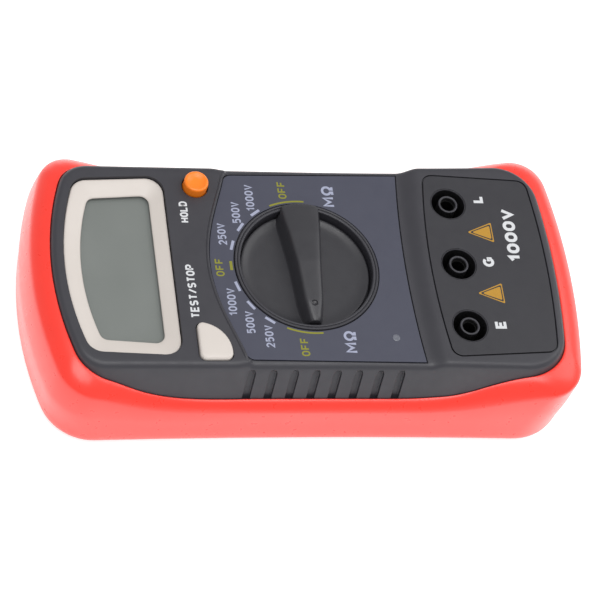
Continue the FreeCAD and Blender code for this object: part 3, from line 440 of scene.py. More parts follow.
def vary_color(tree, shader, value, dark, light):
    node = tree.nodes.new("ShaderNodeValToRGB")
    for element, position, color in zip(node.color_ramp.elements, (NOISE_LOW, NOISE_HIGH), (dark, light)):
        element.position = position
        element.color = (*color, 1.0)
    tree.links.new(value, node.inputs["Fac"])
    tree.links.new(node.outputs["Color"], shader.inputs["Base Color"])


def shades(color, amount):
    dark = tuple(c * (1.0 - amount) for c in color)
    light = tuple(min(1.0, c * (1.0 + amount)) for c in color)
    return dark, light


def add_bump(tree, shader, height, strength, distance):
    """Lets a height map roughen the surface; distance is in millimetres."""
    bump = tree.nodes.new("ShaderNodeBump")
    bump.inputs["Strength"].default_value = strength
    bump.inputs["Distance"].default_value = distance * MM
    tree.links.new(height, bump.inputs["Height"])
    tree.links.new(bump.outputs["Normal"], shader.inputs["Normal"])
    return bump


def moulded(name, color, rough, grain=0.35, depth=0.012, mottle=0.04, edge=0.25, coat=0.0, specular=0.5):
    """Moulded plastic or rubber: faint mottling, a fine grain and softened edges."""
    material, tree, shader, coords = new_material(name)
    vary_color(tree, shader, noise_node(tree, coords, 9.0, 3.0), *shades(color, mottle))
    vary_roughness(tree, shader, noise_node(tree, coords, 2.5), rough * 0.9, rough * 1.12)
    if depth > 0:
        bump = add_bump(tree, shader, noise_node(tree, coords, grain), 0.25, depth)
        bevel = tree.nodes.new("ShaderNodeBevel")
        bevel.samples = 4
        bevel.inputs["Radius"].default_value = edge * MM
        tree.links.new(bevel.outputs["Normal"], bump.inputs["Normal"])
    shader.inputs["Specular IOR Level"].default_value = specular
    shader.inputs["Coat Weight"].default_value = coat
    shader.inputs["Coat Roughness"].default_value = 0.3
    return material


def metal(name, color, rough, brush=0.15):
    material, tree, shader, coords = new_material(name)
    stretch = tree.nodes.new("ShaderNodeMapping")
    stretch.inputs["Scale"].default_value = (1.0, 1.0, 0.15)
    tree.links.new(coords, stretch.inputs["Vector"])
    grain = noise_node(tree, stretch.outputs["Vector"], brush, 3.0)
    vary_color(tree, shader, grain, *shades(color, 0.08))
    vary_roughness(tree, shader, grain, rough * 0.7, rough * 1.4)
    add_bump(tree, shader, grain, 0.25, 0.01)
    shader.inputs["Metallic"].default_value = 1.0
    return material


def printed(name, color, rough=0.55):
    """Screen-printed ink: nearly even, with a slight grain and soft wear."""
    material, tree, shader, coords = new_material(name)
    vary_color(tree, shader, noise_node(tree, coords, 0.5, 4.0), *shades(color, 0.06))
    add_bump(tree, shader, noise_node(tree, coords, 0.25), 0.3, 0.01)
    shader.inputs["Roughness"].default_value = rough
    return material


def window_material():
    material, tree, shader, coords = new_material("clear_window")
    vary_color(tree, shader, noise_node(tree, coords, 14.0), (0.25, 0.27, 0.26), (0.3, 0.32, 0.31))
    vary_roughness(tree, shader, noise_node(tree, coords, 6.0), 0.03, 0.07)
    shader.inputs["Alpha"].default_value = 0.12
    shader.inputs["Specular IOR Level"].default_value = 0.6
    return material


def lcd_material():
    """A resting liquid-crystal cell: grey-green, with a faint cloudiness."""
    material, tree, shader, coords = new_material("lcd_cell")
    vary_color(tree, shader, noise_node(tree, coords, 22.0, 3.0), (0.18, 0.195, 0.182), (0.203, 0.218, 0.204))
    vary_roughness(tree, shader, noise_node(tree, coords, 0.3), 0.32, 0.4)
    shader.inputs["Specular IOR Level"].default_value = 0.35
    return material


# Moulded plastics and rubbers: colour, roughness and what differs from the usual grain
MOULDED = {
    "red_rubber": ((0.9, 0.034, 0.018), 0.3, {"depth": 0.0, "mottle": 0.025, "coat": 0.4}),
    "case_plastic": ((0.0325, 0.0318, 0.0395), 0.44, {}),
    "knob_plastic": ((0.0285, 0.028, 0.033), 0.38, {"edge": 0.3}),
    "jack_plastic": ((0.011, 0.011, 0.012), 0.4, {"edge": 0.12}),
    "label_film": ((0.048, 0.0505, 0.076), 0.45,
                   {"grain": 0.25, "depth": 0.008, "mottle": 0.025, "edge": 0.05}),
    "panel_film": ((0.0225, 0.022, 0.0275), 0.42, {"grain": 0.25, "edge": 0.1}),
    "cream_plastic": ((0.6, 0.55, 0.51), 0.38, {"mottle": 0.015, "edge": 0.2}),
    "orange_plastic": ((0.92, 0.21, 0.008), 0.35, {"mottle": 0.03, "edge": 0.2}),
    "white_plastic": ((0.7, 0.7, 0.68), 0.45, {"mottle": 0.02}),
    "blue_plastic": ((0.03, 0.1, 0.4), 0.35, {}),
    "pink_rubber": ((0.5, 0.24, 0.25), 0.6, {}),
    "green_laminate": ((0.015, 0.13, 0.045), 0.35, {"grain": 0.6, "mottle": 0.15}),
    "battery_sleeve": ((0.05, 0.05, 0.055), 0.3, {"mottle": 0.06}),
    "red_wire": ((0.6, 0.02, 0.015), 0.35, {}),
    "ferrite": ((0.04, 0.04, 0.042), 0.6, {"grain": 0.2, "depth": 0.03}),
    "yellow_tape": ((0.75, 0.5, 0.04), 0.3, {}),
    "capacitor_sleeve": ((0.02, 0.02, 0.05), 0.3, {}),
    "chip_resin": ((0.018, 0.018, 0.02), 0.5, {"grain": 0.15}),
    "lamp_resin": ((0.12, 0.125, 0.15), 0.3, {"mottle": 0.2, "edge": 0.1}),
}
METALS = {
    "bright_steel": ((0.6, 0.6, 0.62), 0.3),
    "dark_nickel": ((0.03, 0.03, 0.03), 0.5),
    "spring_brass": ((0.62, 0.44, 0.2), 0.32),
}
MATERIALS = {name: moulded(name, color, rough, **rest) for name, (color, rough, rest) in MOULDED.items()}
MATERIALS.update({name: metal(name, color, rough) for name, (color, rough) in METALS.items()})
MATERIALS.update(clear_window=window_material(), lcd_glass=lcd_material())
WHITE_INK = printed("white_ink", (0.6, 0.61, 0.63))
PALE_INK = printed("pale_ink", (0.32, 0.34, 0.45))
OLIVE_INK = printed("olive_ink", (0.215, 0.21, 0.012))
SIGN_INK = printed("sign_ink", (0.43, 0.22, 0.014))
BLACK_INK = printed("black_ink", (0.02, 0.02, 0.022))


def dress(obj, slot, body="meter", replaces=(), material=None):
    """Gives a new piece its material, its body and the CAD nodes it stands for."""
    obj.data.materials.clear()
    obj.data.materials.append(material or MATERIALS[slot])
    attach(obj, body)
    if replaces:
        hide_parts(*replaces)
    return obj


def dress_frame():
    """Gives every carried CAD node the material of its slot."""
    slots = {entry["node"]: entry["material_slot"] for entry in frame["record"]["subparts"]}
    for node, obj in frame["nodes"].items():
        material = MATERIALS[slots[node]]
        if not obj.material_slots:
            obj.data.materials.append(material)
        for slot in obj.material_slots:
            slot.material = material


# ---------------------------------------------------------------- holster

HOLSTER_SPACING = (tuple(np.linspace(0.0, 1.0, 61)), 15, 33)
RIM_END_Z = 30.35
RIM_SIDE_Z = 19.9
RIM_DIP_Y = 1.5
RIM_DIP_HALF = 34.5
RIM_DIP_RUN = 30.5
RIM_BLEND = 11.0
HOLSTER_END_RADII = (105.0, 195.0)
HOLSTER_INSET = 0.15
HOLSTER_FIT = 0.12
HOLSTER_FOOT = 4.0
HOLSTER_WALL_FOOT_Z = 5.2
HOLSTER_FLOOR_Z = 3.15
CREASE_END_Z = 27.0
CREASE_SIDE_Z = 16.9
SHOULDER_END_Z = 17.5
SHOULDER_SIDE_Z = 12.5
RIM_EDGE = 0.5


def rim_z(loop, end_z, side_z):
    """Rim height around a loop: low along the sides, up a round sweep, level around both ends."""
    rise = end_z - side_z
    radius = (RIM_DIP_RUN ** 2 + rise ** 2) / (2.0 * rise)
    levels = []
    for blend in np.linspace(-RIM_BLEND, RIM_BLEND, 9):
        away = np.clip(np.abs(loop[:, 1] - RIM_DIP_Y) + blend - RIM_DIP_HALF, 0.0, RIM_DIP_RUN)
        levels.append(side_z + radius - np.sqrt(radius ** 2 - away ** 2))
    return np.mean(levels, axis=0)


def holster_loop(widths, y_high, y_low, corners):
    return rounded_loop(widths, y_high, y_low, HOLSTER_END_RADII, corners, HOLSTER_SPACING)


def case_rail(z_values, inset):
    """Where the case's outer wall is, at its own height for each point of the loop."""
    low = case_loop(PARTING_Z, inset, HOLSTER_SPACING)
    high = case_loop(CASE_TOP_Z, inset, HOLSTER_SPACING)
    share = case_rise(np.asarray(z_values))
    return low + (high - low) * np.broadcast_to(share, (len(low),))[:, None]


def window_rail(loop, half_x, y0, y1):
    """The stand's opening, one point for each point of the loop."""
    middle = np.array([0.0, (y0 + y1) / 2.0])
    half = np.array([half_x, (y1 - y0) / 2.0])
    away = loop - middle
    scale = np.max(np.abs(away) / half, axis=1)
    return middle + away / scale[:, None]


def make_holster():
    """One closed section, carried round the case: foot, bulging wall, crease, sloping rim, inside."""
    half = HOLSTER_HIGH[0] - HOLSTER_INSET
    high = HOLSTER_HIGH[1]
    low = HOLSTER_LOW[1]
    widest = holster_loop((half - 0.3, half - 1.35, half - 0.1), high - 1.1, low + 0.55, (15.0, 16.0))
    shoulder = holster_loop((half - 0.5, half - 1.5, half - 0.1), high - 0.05, low + 0.05, (13.5, 14.5))
    crease_loop = holster_loop((half - 1.9, half - 1.6, half - 0.9), high - 1.7, low + 1.0, (11.0, 10.5))
    rim_top = rim_z(crease_loop, RIM_END_Z, RIM_SIDE_Z)
    crease = rim_z(crease_loop, CREASE_END_Z, CREASE_SIDE_Z)
    shoulder_z = rim_z(shoulder, SHOULDER_END_Z, SHOULDER_SIDE_Z)
    inner = case_rail(rim_top, -HOLSTER_FIT)
    stand_x = STAND_HIGH[0] + 0.4
    opening = window_rail(widest, stand_x, STAND_LOW[1] - 2.0, STAND_HIGH[1] + 0.4)
    wider = window_rail(widest, stand_x + 0.5, STAND_LOW[1] - 2.5, STAND_HIGH[1] + 0.9)
    rails = [(opening, 0.5), (wider, 0.0)]
    foot = HOLSTER_FOOT
    for share in (0.25, 0.6, 0.9):
        rails.append((wider + (offset_loop(widest, -foot - 1.0) - wider) * share, 0.0))
    for angle in np.radians((0, 12, 30, 48, 66, 82)):
        rails.append((offset_loop(widest, -foot * (1.0 - math.sin(angle))), foot * (1.0 - math.cos(angle))))
    low_z = HOLSTER_WALL_FOOT_Z
    rails.append((widest, low_z))
    for share in (0.3, 0.62, 0.88, 1.0):
        bulge = share * share * (3.0 - 2.0 * share)
        rails.append((widest + (shoulder - widest) * bulge, low_z + (shoulder_z - low_z) * share))
    rails.append((shoulder + (crease_loop - shoulder) * 0.35, shoulder_z + (crease - shoulder_z) * 0.55))
    rails.append((shoulder + (crease_loop - shoulder) * 0.8, shoulder_z + (crease - shoulder_z) * 0.88))
    rails.append((crease_loop, crease + 0.1))
    rails.append((crease_loop + (inner - crease_loop) * 0.1, crease + (rim_top - crease) * 0.22))
    slope = ((0.24, 0.45), (0.42, 0.68), (0.6, 0.84), (0.74, 0.93), (0.86, 0.985))
    for share, rise in slope:
        rails.append((crease_loop + (inner - crease_loop) * share, crease + (rim_top - crease) * rise))
    lip = crease_loop + (inner - crease_loop) * 0.95
    rails.append((lip, rim_top))
    rails.append((inner + (lip - inner) * 0.25, rim_top - 0.08))
    for share in (0.0, 0.35, 0.75, 1.0):
        z = rim_top - RIM_EDGE + (PARTING_Z - rim_top + RIM_EDGE) * share
        rails.append((case_rail(z, -HOLSTER_FIT), z))
    floor = case_loop(PARTING_Z, 1.5, HOLSTER_SPACING)
    rails += [
        (case_loop(PARTING_Z, 0.6, HOLSTER_SPACING), 8.0), (floor, 5.0),
        (offset_loop(floor, -2.5), HOLSTER_FLOOR_Z), (wider, HOLSTER_FLOOR_Z), (opening, 2.9),
    ]
    obj = rails_object("holster_moulding", rails, True, 60.0)
    subdivide = obj.modifiers.new("smooth", "SUBSURF")
    subdivide.levels = 1
    subdivide.render_levels = 1
    return dress(obj, "red_rubber", replaces=("holster",))


# ---------------------------------------------------------------- front case

RIDGE_DROPS = (0.01131, -3.0e-6, -6.6e-10)
RIDGE_REACH = 36.0
LABEL_RIDGE_GAP = 0.75
RAMP_DROPS = (0.0, 0.15, 0.55, 1.3, 2.2)
RAMP_GAP = 1.05
RAMP_RUN = 6.0
FACE_SPACING = (tuple(np.linspace(0.0, 1.0, 181)), 10, 41)
SPINE_ENDS = (-56.0, 50.0)


def ridge_y(x):
    """The edge between the display section and the dial section, an arc with flatter ends."""
    square = np.minimum(np.abs(x), RIDGE_REACH) ** 2
    drop = RIDGE_DROPS[0] * square + RIDGE_DROPS[1] * square ** 2 + RIDGE_DROPS[2] * square ** 3
    return LABEL_HIGH[1] + 0.35 - drop


def ramp_ys(x):
    """Where the slope up to the jack section starts and ends, bowed a little towards its sides."""
    drop = np.interp(np.abs(x), (0, 10, 20, 30, 40), RAMP_DROPS)
    low = LABEL_LOW[1] + RAMP_GAP - drop
    return low, low - RAMP_RUN


def face_z(x, y):
    """Height of the face over the plan."""
    ridge = ridge_y(x)
    low, high = ramp_ys(x)
    step = (DISPLAY_Z - DIAL_Z) * smoothstep(ridge - 1.0, ridge - 0.2, y)
    ramp = (JACK_Z - DIAL_Z) * smoothstep(low, high, y)
    return DIAL_Z + step + ramp


def make_front_cap(inset, drop, edge_radius, bottom_z):
    """A closed solid with the case's outer form, smaller by inset and lower by drop."""
    base = case_loop(bottom_z, inset, FACE_SPACING)
    rim = case_loop(CASE_TOP_Z, inset, FACE_SPACING)

    def wall(z):
        share = (z - bottom_z) / (CASE_TOP_Z - bottom_z)
        return base + (rim - base) * np.broadcast_to(share, (len(base),))[:, None]

    edge = wall(np.full(len(base), DISPLAY_Z))
    top = face_z(edge[:, 0], edge[:, 1]) - drop
    rails = [(base, bottom_z)]
    for share in (0.12, 0.3, 0.5, 0.7, 0.88):
        z = bottom_z + (top - edge_radius - bottom_z) * share
        rails.append((wall(z), z))
    for angle in np.radians((0, 15, 30, 45, 60, 75, 90)):
        z = top - edge_radius + edge_radius * math.sin(angle)
        loop = offset_loop(wall(z), -edge_radius * (1.0 - math.cos(angle)) * 0.9)
        rails.append((loop, z))
    start = rails[-1][0]
    spine = np.stack([np.zeros(len(start)), np.clip(start[:, 1], *SPINE_ENDS)], 1)
    for share in np.concatenate([np.linspace(0.975, 0.1, 44), [0.0]]):
        loop = spine + (start - spine) * share
        rails.append((loop, face_z(loop[:, 0], loop[:, 1]) - drop))
    return rails_object("cap", rails, False, 32.0, caps=(True, False))


def label_loop(grow):
    half_top = LABEL_HIGH[0] - 0.8 + grow
    half_low = LABEL_HIGH[0] + grow
    foot_y = LABEL_LOW[1] - grow
    xs = np.linspace(half_top, -half_top, 41)
    head = np.stack([xs, ridge_y(xs) - LABEL_RIDGE_GAP + grow], 1)
    low_left = (-half_low, foot_y)
    low_right = (half_low, foot_y)
    sides = [
        head,
        line_points(head[-1], low_left, 30),
        arc_points(low_left, (0.0, foot_y + 1.625), low_right, 30),
        line_points(low_right, head[0], 30),
    ]
    return round_corners(sides, (2.4 + grow, 2.4 + grow, 0.0, 0.0))


def panel_loop(grow):
    half_top = PANEL_HIGH[0] + 0.15 + grow
    half_low = half_top - 1.6
    head = PANEL_HIGH[1] + grow
    foot = PANEL_LOW[1] - grow
    return arched_loop(half_top, head - 2.2, head, half_low, foot + 1.8, foot, (3.0 + grow,) * 4)


def display_loop(side, head_drop, foot_rise, arch, corner):
    """An outline in the bezel, a little narrower at its arched head than at its foot."""
    half = BEZEL_HIGH[0] - side
    head = BEZEL_HIGH[1] - head_drop
    foot = BEZEL_LOW[1] + foot_rise
    return arched_loop(half - 1.3, head - arch, head, half, foot, foot, (corner,) * 4)


def bezel_loop(grow):
    return display_loop(1.1 - grow, 1.1 - grow, 1.1 - grow, 5.0, 5.0 + grow)


def window_loop(grow):
    return display_loop(6.2 - grow, 6.1 - grow, 5.2 - grow, 3.75, 2.6 + grow)


def test_key_loop(grow):
    left = TEST_LOW[0] + 0.05 - grow
    top = TEST_HIGH[1] - 0.7 + grow
    right = left + 11.8 + 2.0 * grow
    foot = top - 9.0 - 2.0 * grow
    bulge = (left + 9.1 + 1.7 * grow, top - 6.6 - 1.7 * grow)
    sides = [
        line_points((right, top), (left, top), 24),
        line_points((left, top), (left, foot), 24),
        arc_points((left, foot), bulge, (right, top), 48),
    ]
    return round_corners(sides, (1.8 + grow, 1.8 + grow, 2.2 + grow), 20, 10)


WELL_RADIUS = 19.2
WELL_LIP = 20.9
JACK_HOLE_RADIUS = 5.25
FACE_CUT = (26.0, 36.0)
HOLD_MID = ((HOLD_LOW[0] + HOLD_HIGH[0]) / 2.0, (HOLD_LOW[1] + HOLD_HIGH[1]) / 2.0)
HOLD_RADIUS = 3.5


def jack_middle(name):
    low, high = JACKS[name]
    return (low[0] + high[0]) / 2.0, (low[1] + high[1]) / 2.0


GRIP_MIDDLE_Y = -1.8
GRIP_PITCH = 6.15
GRIP_HALF = 1.15
GRIP_DEPTH = 1.1
GRIP_TILT = 0.05
GRIP_LEVEL_Z = 23.0
GRIP_COUNT = 8
GRIP_LEVELS = (PARTING_Z - 2.0, 20.0, 27.9, 28.8, 29.3)


def grip_cutters():
    """The grooves in each side wall, which narrow and run out at the top."""
    cutters = []
    slope = CASE_MID_LEAN / (CASE_TOP_Z - PARTING_Z)
    for index in range(GRIP_COUNT):
        for side in (-1.0, 1.0):
            rails = []
            for z in GRIP_LEVELS:
                pinch = smoothstep(27.8, 29.5, z)
                wall_x = CASE_MID_HALF - slope * (z - PARTING_Z)
                place = (index - (GRIP_COUNT - 1) / 2.0) * GRIP_PITCH
                y = GRIP_MIDDLE_Y + place - GRIP_TILT * (z - GRIP_LEVEL_Z)
                depth = GRIP_DEPTH * (1.0 - pinch)
                w = GRIP_HALF * (1.0 - 0.4 * pinch)
                x_in = wall_x - depth
                x_out = wall_x + 4.0
                loop = np.array([
                    (x_in + 0.25, y - w), (x_out, y - w), (x_out, y + w),
                    (x_in + 0.25, y + w), (x_in, y + w * 0.75), (x_in, y - w * 0.75),
                ])
                loop[:, 0] *= side
                rails.append((loop, z))
            cutters.append(rails_object("grip", rails, False, caps=(True, True)))
    return cutters


def make_front_case():
    shell = make_front_cap(0.0, 0.0, 1.5, PARTING_Z)
    shell.name = "front_shell"
    shell = cut(shell, [make_front_cap(2.0, 2.2, 0.8, PARTING_Z - 0.5)])
    cutters = grip_cutters() + [
        prism("bezel_hole", bezel_loop(0.18), *FACE_CUT),
        prism("label_pocket", label_loop(0.36), DIAL_Z - 0.7, DIAL_Z + 3.0),
        prism("panel_pocket", panel_loop(0.42), JACK_Z - 0.8, JACK_Z + 3.0),
        prism("well_hole", circle_loop(WELL_LIP + 0.05, 0, 0), *FACE_CUT),
        prism("hold_hole", circle_loop(HOLD_RADIUS + 0.35, *HOLD_MID, 64), *FACE_CUT),
        prism("test_hole", test_key_loop(0.25), *FACE_CUT),
    ]
    shell = cut(shell, cutters)
    jack_loops = [circle_loop(JACK_HOLE_RADIUS, *jack_middle(name), 64) for name in JACKS]
    shell = cut(shell, [prism("jack_hole", loop, *FACE_CUT) for loop in jack_loops])
    return dress(shell, "case_plastic", replaces=("front_case",))


RIDGE_HALF_LENGTH = 31.2
RIDGE_FADE = (31.4, 29.0)
RIDGE_NARROW = 0.7
RIDGE_SECTION = (
    (0.75, -0.9), (0.72, -0.1), (0.45, 0.2), (0.0, 0.3),
    (-0.4, 0.22), (-0.65, 0.0), (-0.75, -1.6), (0.0, -1.8),
)


def make_ridge():
    """The raised bead that follows the label's arched head."""
    rings = []
    for x in np.linspace(-RIDGE_HALF_LENGTH, RIDGE_HALF_LENGTH, 121):
        y = float(ridge_y(x))
        slope = float(ridge_y(x + 0.2) - ridge_y(x - 0.2)) / 0.4
        length = math.hypot(1.0, slope)
        normal = (-slope / length, 1.0 / length)
        fade = float(smoothstep(*RIDGE_FADE, abs(x)))
        ring = []
        for offset, height in RIDGE_SECTION:
            z = DISPLAY_Z + (height if height < 0 else height * fade)
            ring.append((x + normal[0] * offset * RIDGE_NARROW, y + normal[1] * offset * RIDGE_NARROW, z))
        rings.append(ring)
    return dress(skin_object("label_ridge", rings, False, 50.0, (True, True)), "case_plastic")


def make_well_ring():
    """The raised double ring around the selector, and the wall and ledge of its well."""
    top = DIAL_Z + 0.38
    profile = [
        (WELL_LIP, 27.0), (WELL_LIP, DIAL_Z), (WELL_LIP - 0.06, top - 0.14), (WELL_LIP - 0.22, top),
        (20.35, top), (20.22, top - 0.06), (20.14, top - 0.34), (20.02, top - 0.34), (19.94, top - 0.06),
        (19.8, top - 0.02), (19.5, top - 0.05), (19.32, top - 0.16), (WELL_RADIUS, top - 0.4),
        (WELL_RADIUS, 26.1), (16.4, 26.1), (16.4, 25.0), (WELL_RADIUS + 0.6, 25.0), (WELL_RADIUS + 0.6, 27.0),
        (WELL_LIP, 27.0),
    ]
    return dress(lathe("selector_well", profile, 0, 0, 160, 25.0), "case_plastic")


def make_label():
    obj = plate("dial_label", label_loop(0.0), [circle_loop(WELL_LIP + 0.3, 0, 0, 120)],
                DIAL_Z - 0.68, DIAL_Z + 0.04, 0.06)
    return dress(obj, "label_film", replaces=("face_label",))


def make_panel():
    holes = [circle_loop(5.32, *jack_middle(name), 96) for name in JACKS]
    obj = plate("jack_plate", panel_loop(0.0), holes, JACK_Z - 0.78, JACK_Z, 0.12)
    shade(obj, 20.0)
    return dress(obj, "panel_film", replaces=("jack_panel",))


def make_bezel():
    outer = bezel_loop(0.0)
    inner = window_loop(0.0)
    top = BEZEL_HIGH[2]
    low = BEZEL_LOW[2]
    rails = [
        (bezel_loop(1.0), low), (bezel_loop(1.0), low + 1.2), (outer, low + 1.2), (outer, top - 0.3),
        (offset_loop(outer, -0.08), top - 0.1), (offset_loop(outer, -0.28), top),
        (offset_loop(outer, -0.6), top - 0.03),
        (outer + (inner - outer) * 0.5, top - 0.75),
        (offset_loop(inner, 0.45), top - 1.5), (offset_loop(inner, 0.15), top - 1.66),
        (inner, top - 1.9), (inner, low + 0.7), (window_loop(1.5), low + 0.7), (window_loop(1.5), low),
    ]
    return dress(rails_object("bezel_frame", rails, True, 35.0), "cream_plastic", replaces=("display_bezel",))


# ---------------------------------------------------------------- selector

DISC_LOW_Z = 26.45
DISC_TOP_Z = 28.0
DIMPLE_X = -13.4
HANDLE_OVERHANG = 1.5
HANDLE_OVERHANG_Z = (31.3, 32.0)
# Along the handle, from -1 at its tip to 1 at its wide end: the dip of its crest, and its half-width
HANDLE_DIPS = ((-1.0, 2.0), (-0.7, 0.95), (0.0, 0.05), (0.55, 0.3), (1.0, 1.5))
HANDLE_HALVES = ((-1.0, 1.45), (-0.64, 2.55), (0.0, 3.35), (0.54, 4.45), (1.0, 5.45))


def make_knob():
    radius = KNOB_HIGH[0]
    disc_low = DISC_LOW_Z
    disc_top = DISC_TOP_Z
    profile = [
        (0.0, disc_low), (radius - 0.15, disc_low), (radius, disc_low + 0.15), (radius, disc_top + 0.35),
        (radius - 0.1, disc_top + 0.58), (radius - 0.35, disc_top + 0.66), (radius - 0.8, disc_top + 0.55),
        (radius - 1.6, disc_top + 0.22), (radius - 2.6, disc_top + 0.04), (radius - 4.0, disc_top - 0.02),
        (9.0, disc_top + 0.05), (0.0, disc_top + 0.12),
    ]
    disc = lathe("disc", profile, 0, 0, 160, 50.0)
    handle = make_handle(radius - 0.18, disc_top - 0.3)
    knob = cut(disc, [handle], "UNION")
    dimple = lathe("dimple", [(0.0, -0.55), (0.5, -0.5), (0.85, -0.25), (0.95, 0.3), (0.0, 0.9)], 0, 0, 32)
    place = (DIMPLE_X * MM, 0.0, handle_top(DIMPLE_X / radius) * MM)
    dimple.data.transform(Matrix.Translation(Vector(place)))
    knob = cut(knob, [dimple])
    knob.name = "selector_dial"
    return dress(knob, "knob_plastic", "selector", ("selector_knob",))


def handle_top(share):
    """Height of the handle's crest at a share of its length."""
    return KNOB_HIGH[2] - 0.05 - float(np.interp(share, *zip(*HANDLE_DIPS)))


def make_handle(radius, base_z):
    rings = []
    for share in np.concatenate([[-1.0, -0.992], np.linspace(-0.975, 0.975, 45), [0.992, 1.0]]):
        pinch = 0.22 * float(smoothstep(0.97, 1.0, abs(share)))
        half = float(np.interp(share, *zip(*HANDLE_HALVES))) - pinch
        top = handle_top(share) - pinch
        foot = half + 1.1
        points = [
            (-foot - 0.7, base_z), (-foot - 0.15, base_z + 0.55), (-foot + 0.2, base_z + 1.3),
            (-half - 0.45, top - 1.45), (-half - 0.1, top - 0.8), (-half + 0.05, top - 0.42),
            (-half + 0.3, top - 0.16), (-half + 0.65, top - 0.04), (-half * 0.5, top + 0.05),
            (0.0, top + 0.08),
        ]
        points += [(-y, z) for y, z in reversed(points[:-1])]
        ring = []
        for y, z in points:
            reach = math.sqrt(max(radius ** 2 - y ** 2, 0.0))
            over = HANDLE_OVERHANG * float(smoothstep(*HANDLE_OVERHANG_Z, z) * smoothstep(0.75, 1.0, share))
            ring.append((share * reach + over, y, z))
        rings.append(ring)
    return skin_object("handle", rings, False, 40.0, (True, True))


# ---------------------------------------------------------------- keys, jacks, lamp

def make_hold_key():
    top = HOLD_HIGH[2]
    low = HOLD_LOW[2]
    r = HOLD_RADIUS
    profile = [
        (0.0, low), (r + 0.6, low), (r + 0.7, low + 0.1), (r + 0.7, low + 1.1), (r, low + 1.2),
        (r, top - 0.7), (r - 0.06, top - 0.42), (r - 0.2, top - 0.2), (r - 0.42, top - 0.06),
        (r - 0.65, top), (r - 0.9, top - 0.08), (r - 1.2, top - 0.32), (1.0, top - 0.5), (0.0, top - 0.52),
    ]
    obj = lathe("hold_cap", profile, *HOLD_MID, 96, 50.0)
    return dress(obj, "orange_plastic", "hold_button", ("hold_key",))


TEST_EDGE_RADIUS = 0.8
TEST_CROWN = 0.12


def make_test_key():
    top = TEST_HIGH[2]
    low = TEST_LOW[2]
    outer = test_key_loop(0.0)
    middle = outer.mean(axis=0)
    rails = [(test_key_loop(0.25), low), (test_key_loop(0.25), low + 0.9), (outer, low + 1.1)]
    for angle in np.radians((0, 18, 36, 54, 72, 90)):
        loop = offset_loop(outer, -TEST_EDGE_RADIUS * (1.0 - math.cos(angle)))
        rails.append((loop, top - TEST_CROWN - TEST_EDGE_RADIUS * (1.0 - math.sin(angle))))
    inner = rails[-1][0]
    for share in (0.85, 0.65, 0.4, 0.15):
        rails.append((middle + (inner - middle) * share, top - TEST_CROWN * share * share))
    obj = rails_object("test_cap", rails, False, 50.0, caps=(True, True))
    return dress(obj, "cream_plastic", "test_button", ("test_key",))


def make_jack(name):
    x, y = jack_middle(name)
    low, high = JACKS[name]
    top = high[2]
    floor_z = low[2] + 1.6
    rim = top - 0.3
    sleeve = [
        (1.15, low[2]), (5.2, low[2]), (5.2, rim), (4.95, rim), (4.95, floor_z), (2.85, floor_z),
        (2.85, rim), (2.2, rim), (2.2, top - 1.6), (2.55, top - 1.6), (2.55, floor_z),
        (1.15, floor_z), (1.15, low[2]),
    ]
    ring = [
        (2.88, top - 0.32), (2.86, top - 0.2), (2.74, top - 0.08), (2.6, top - 0.04), (2.44, top - 0.06),
        (2.28, top - 0.18), (2.24, top - 0.32), (2.88, top - 0.32),
    ]
    collar = [
        (5.22, top - 0.32), (5.22, top - 0.14), (5.16, top - 0.03), (5.04, top - 0.03), (4.96, top - 0.14),
        (4.93, top - 0.32), (5.22, top - 0.32),
    ]
    # The socket ring and the top collar take the lighter case plastic instead of the jack's black: a painted
    # highlight standing in for light catching their rounded edges.
    painted_highlight_rims = [lathe("rim", profile, x, y, 96, 50.0) for profile in (ring, collar)]
    painted_highlight_rims = joined(name + "_jack_painted_highlight_rings", painted_highlight_rims)
    shade(painted_highlight_rims, 50.0)
    dress(painted_highlight_rims, "case_plastic")
    obj = lathe(name + "_jack_sleeve", sleeve, x, y, 96, 28.0)
    return dress(obj, "jack_plastic", replaces=(name + "_jack_bush",))


def make_lamp():
    x = (LAMP_LOW[0] + LAMP_HIGH[0]) / 2.0
    y = (LAMP_LOW[1] + LAMP_HIGH[1]) / 2.0
    top = LAMP_HIGH[2] + 0.05
    profile = [(0.0, LAMP_LOW[2]), (1.7, LAMP_LOW[2]), (1.7, LAMP_LOW[2] + 1.3), (1.1, LAMP_LOW[2] + 1.4),
               (1.1, top - 0.05), (1.02, top + 0.02), (0.8, top + 0.06), (0.3, top + 0.02), (0.0, top - 0.05)]
    obj = lathe("lamp_window", profile, x, y, 48, 50.0)
    return dress(obj, "lamp_resin", replaces=("lamp_lens",))


# ---------------------------------------------------------------- printing

INK = 0.03


def bow(x, y, reach_x, reach_y, start, end, count=14):
    """An elliptical arc as a list of points, its angles in degrees."""
    angles = np.radians(np.linspace(start, end, count))
    return [(x + reach_x * math.cos(a), y + reach_y * math.sin(a)) for a in angles]


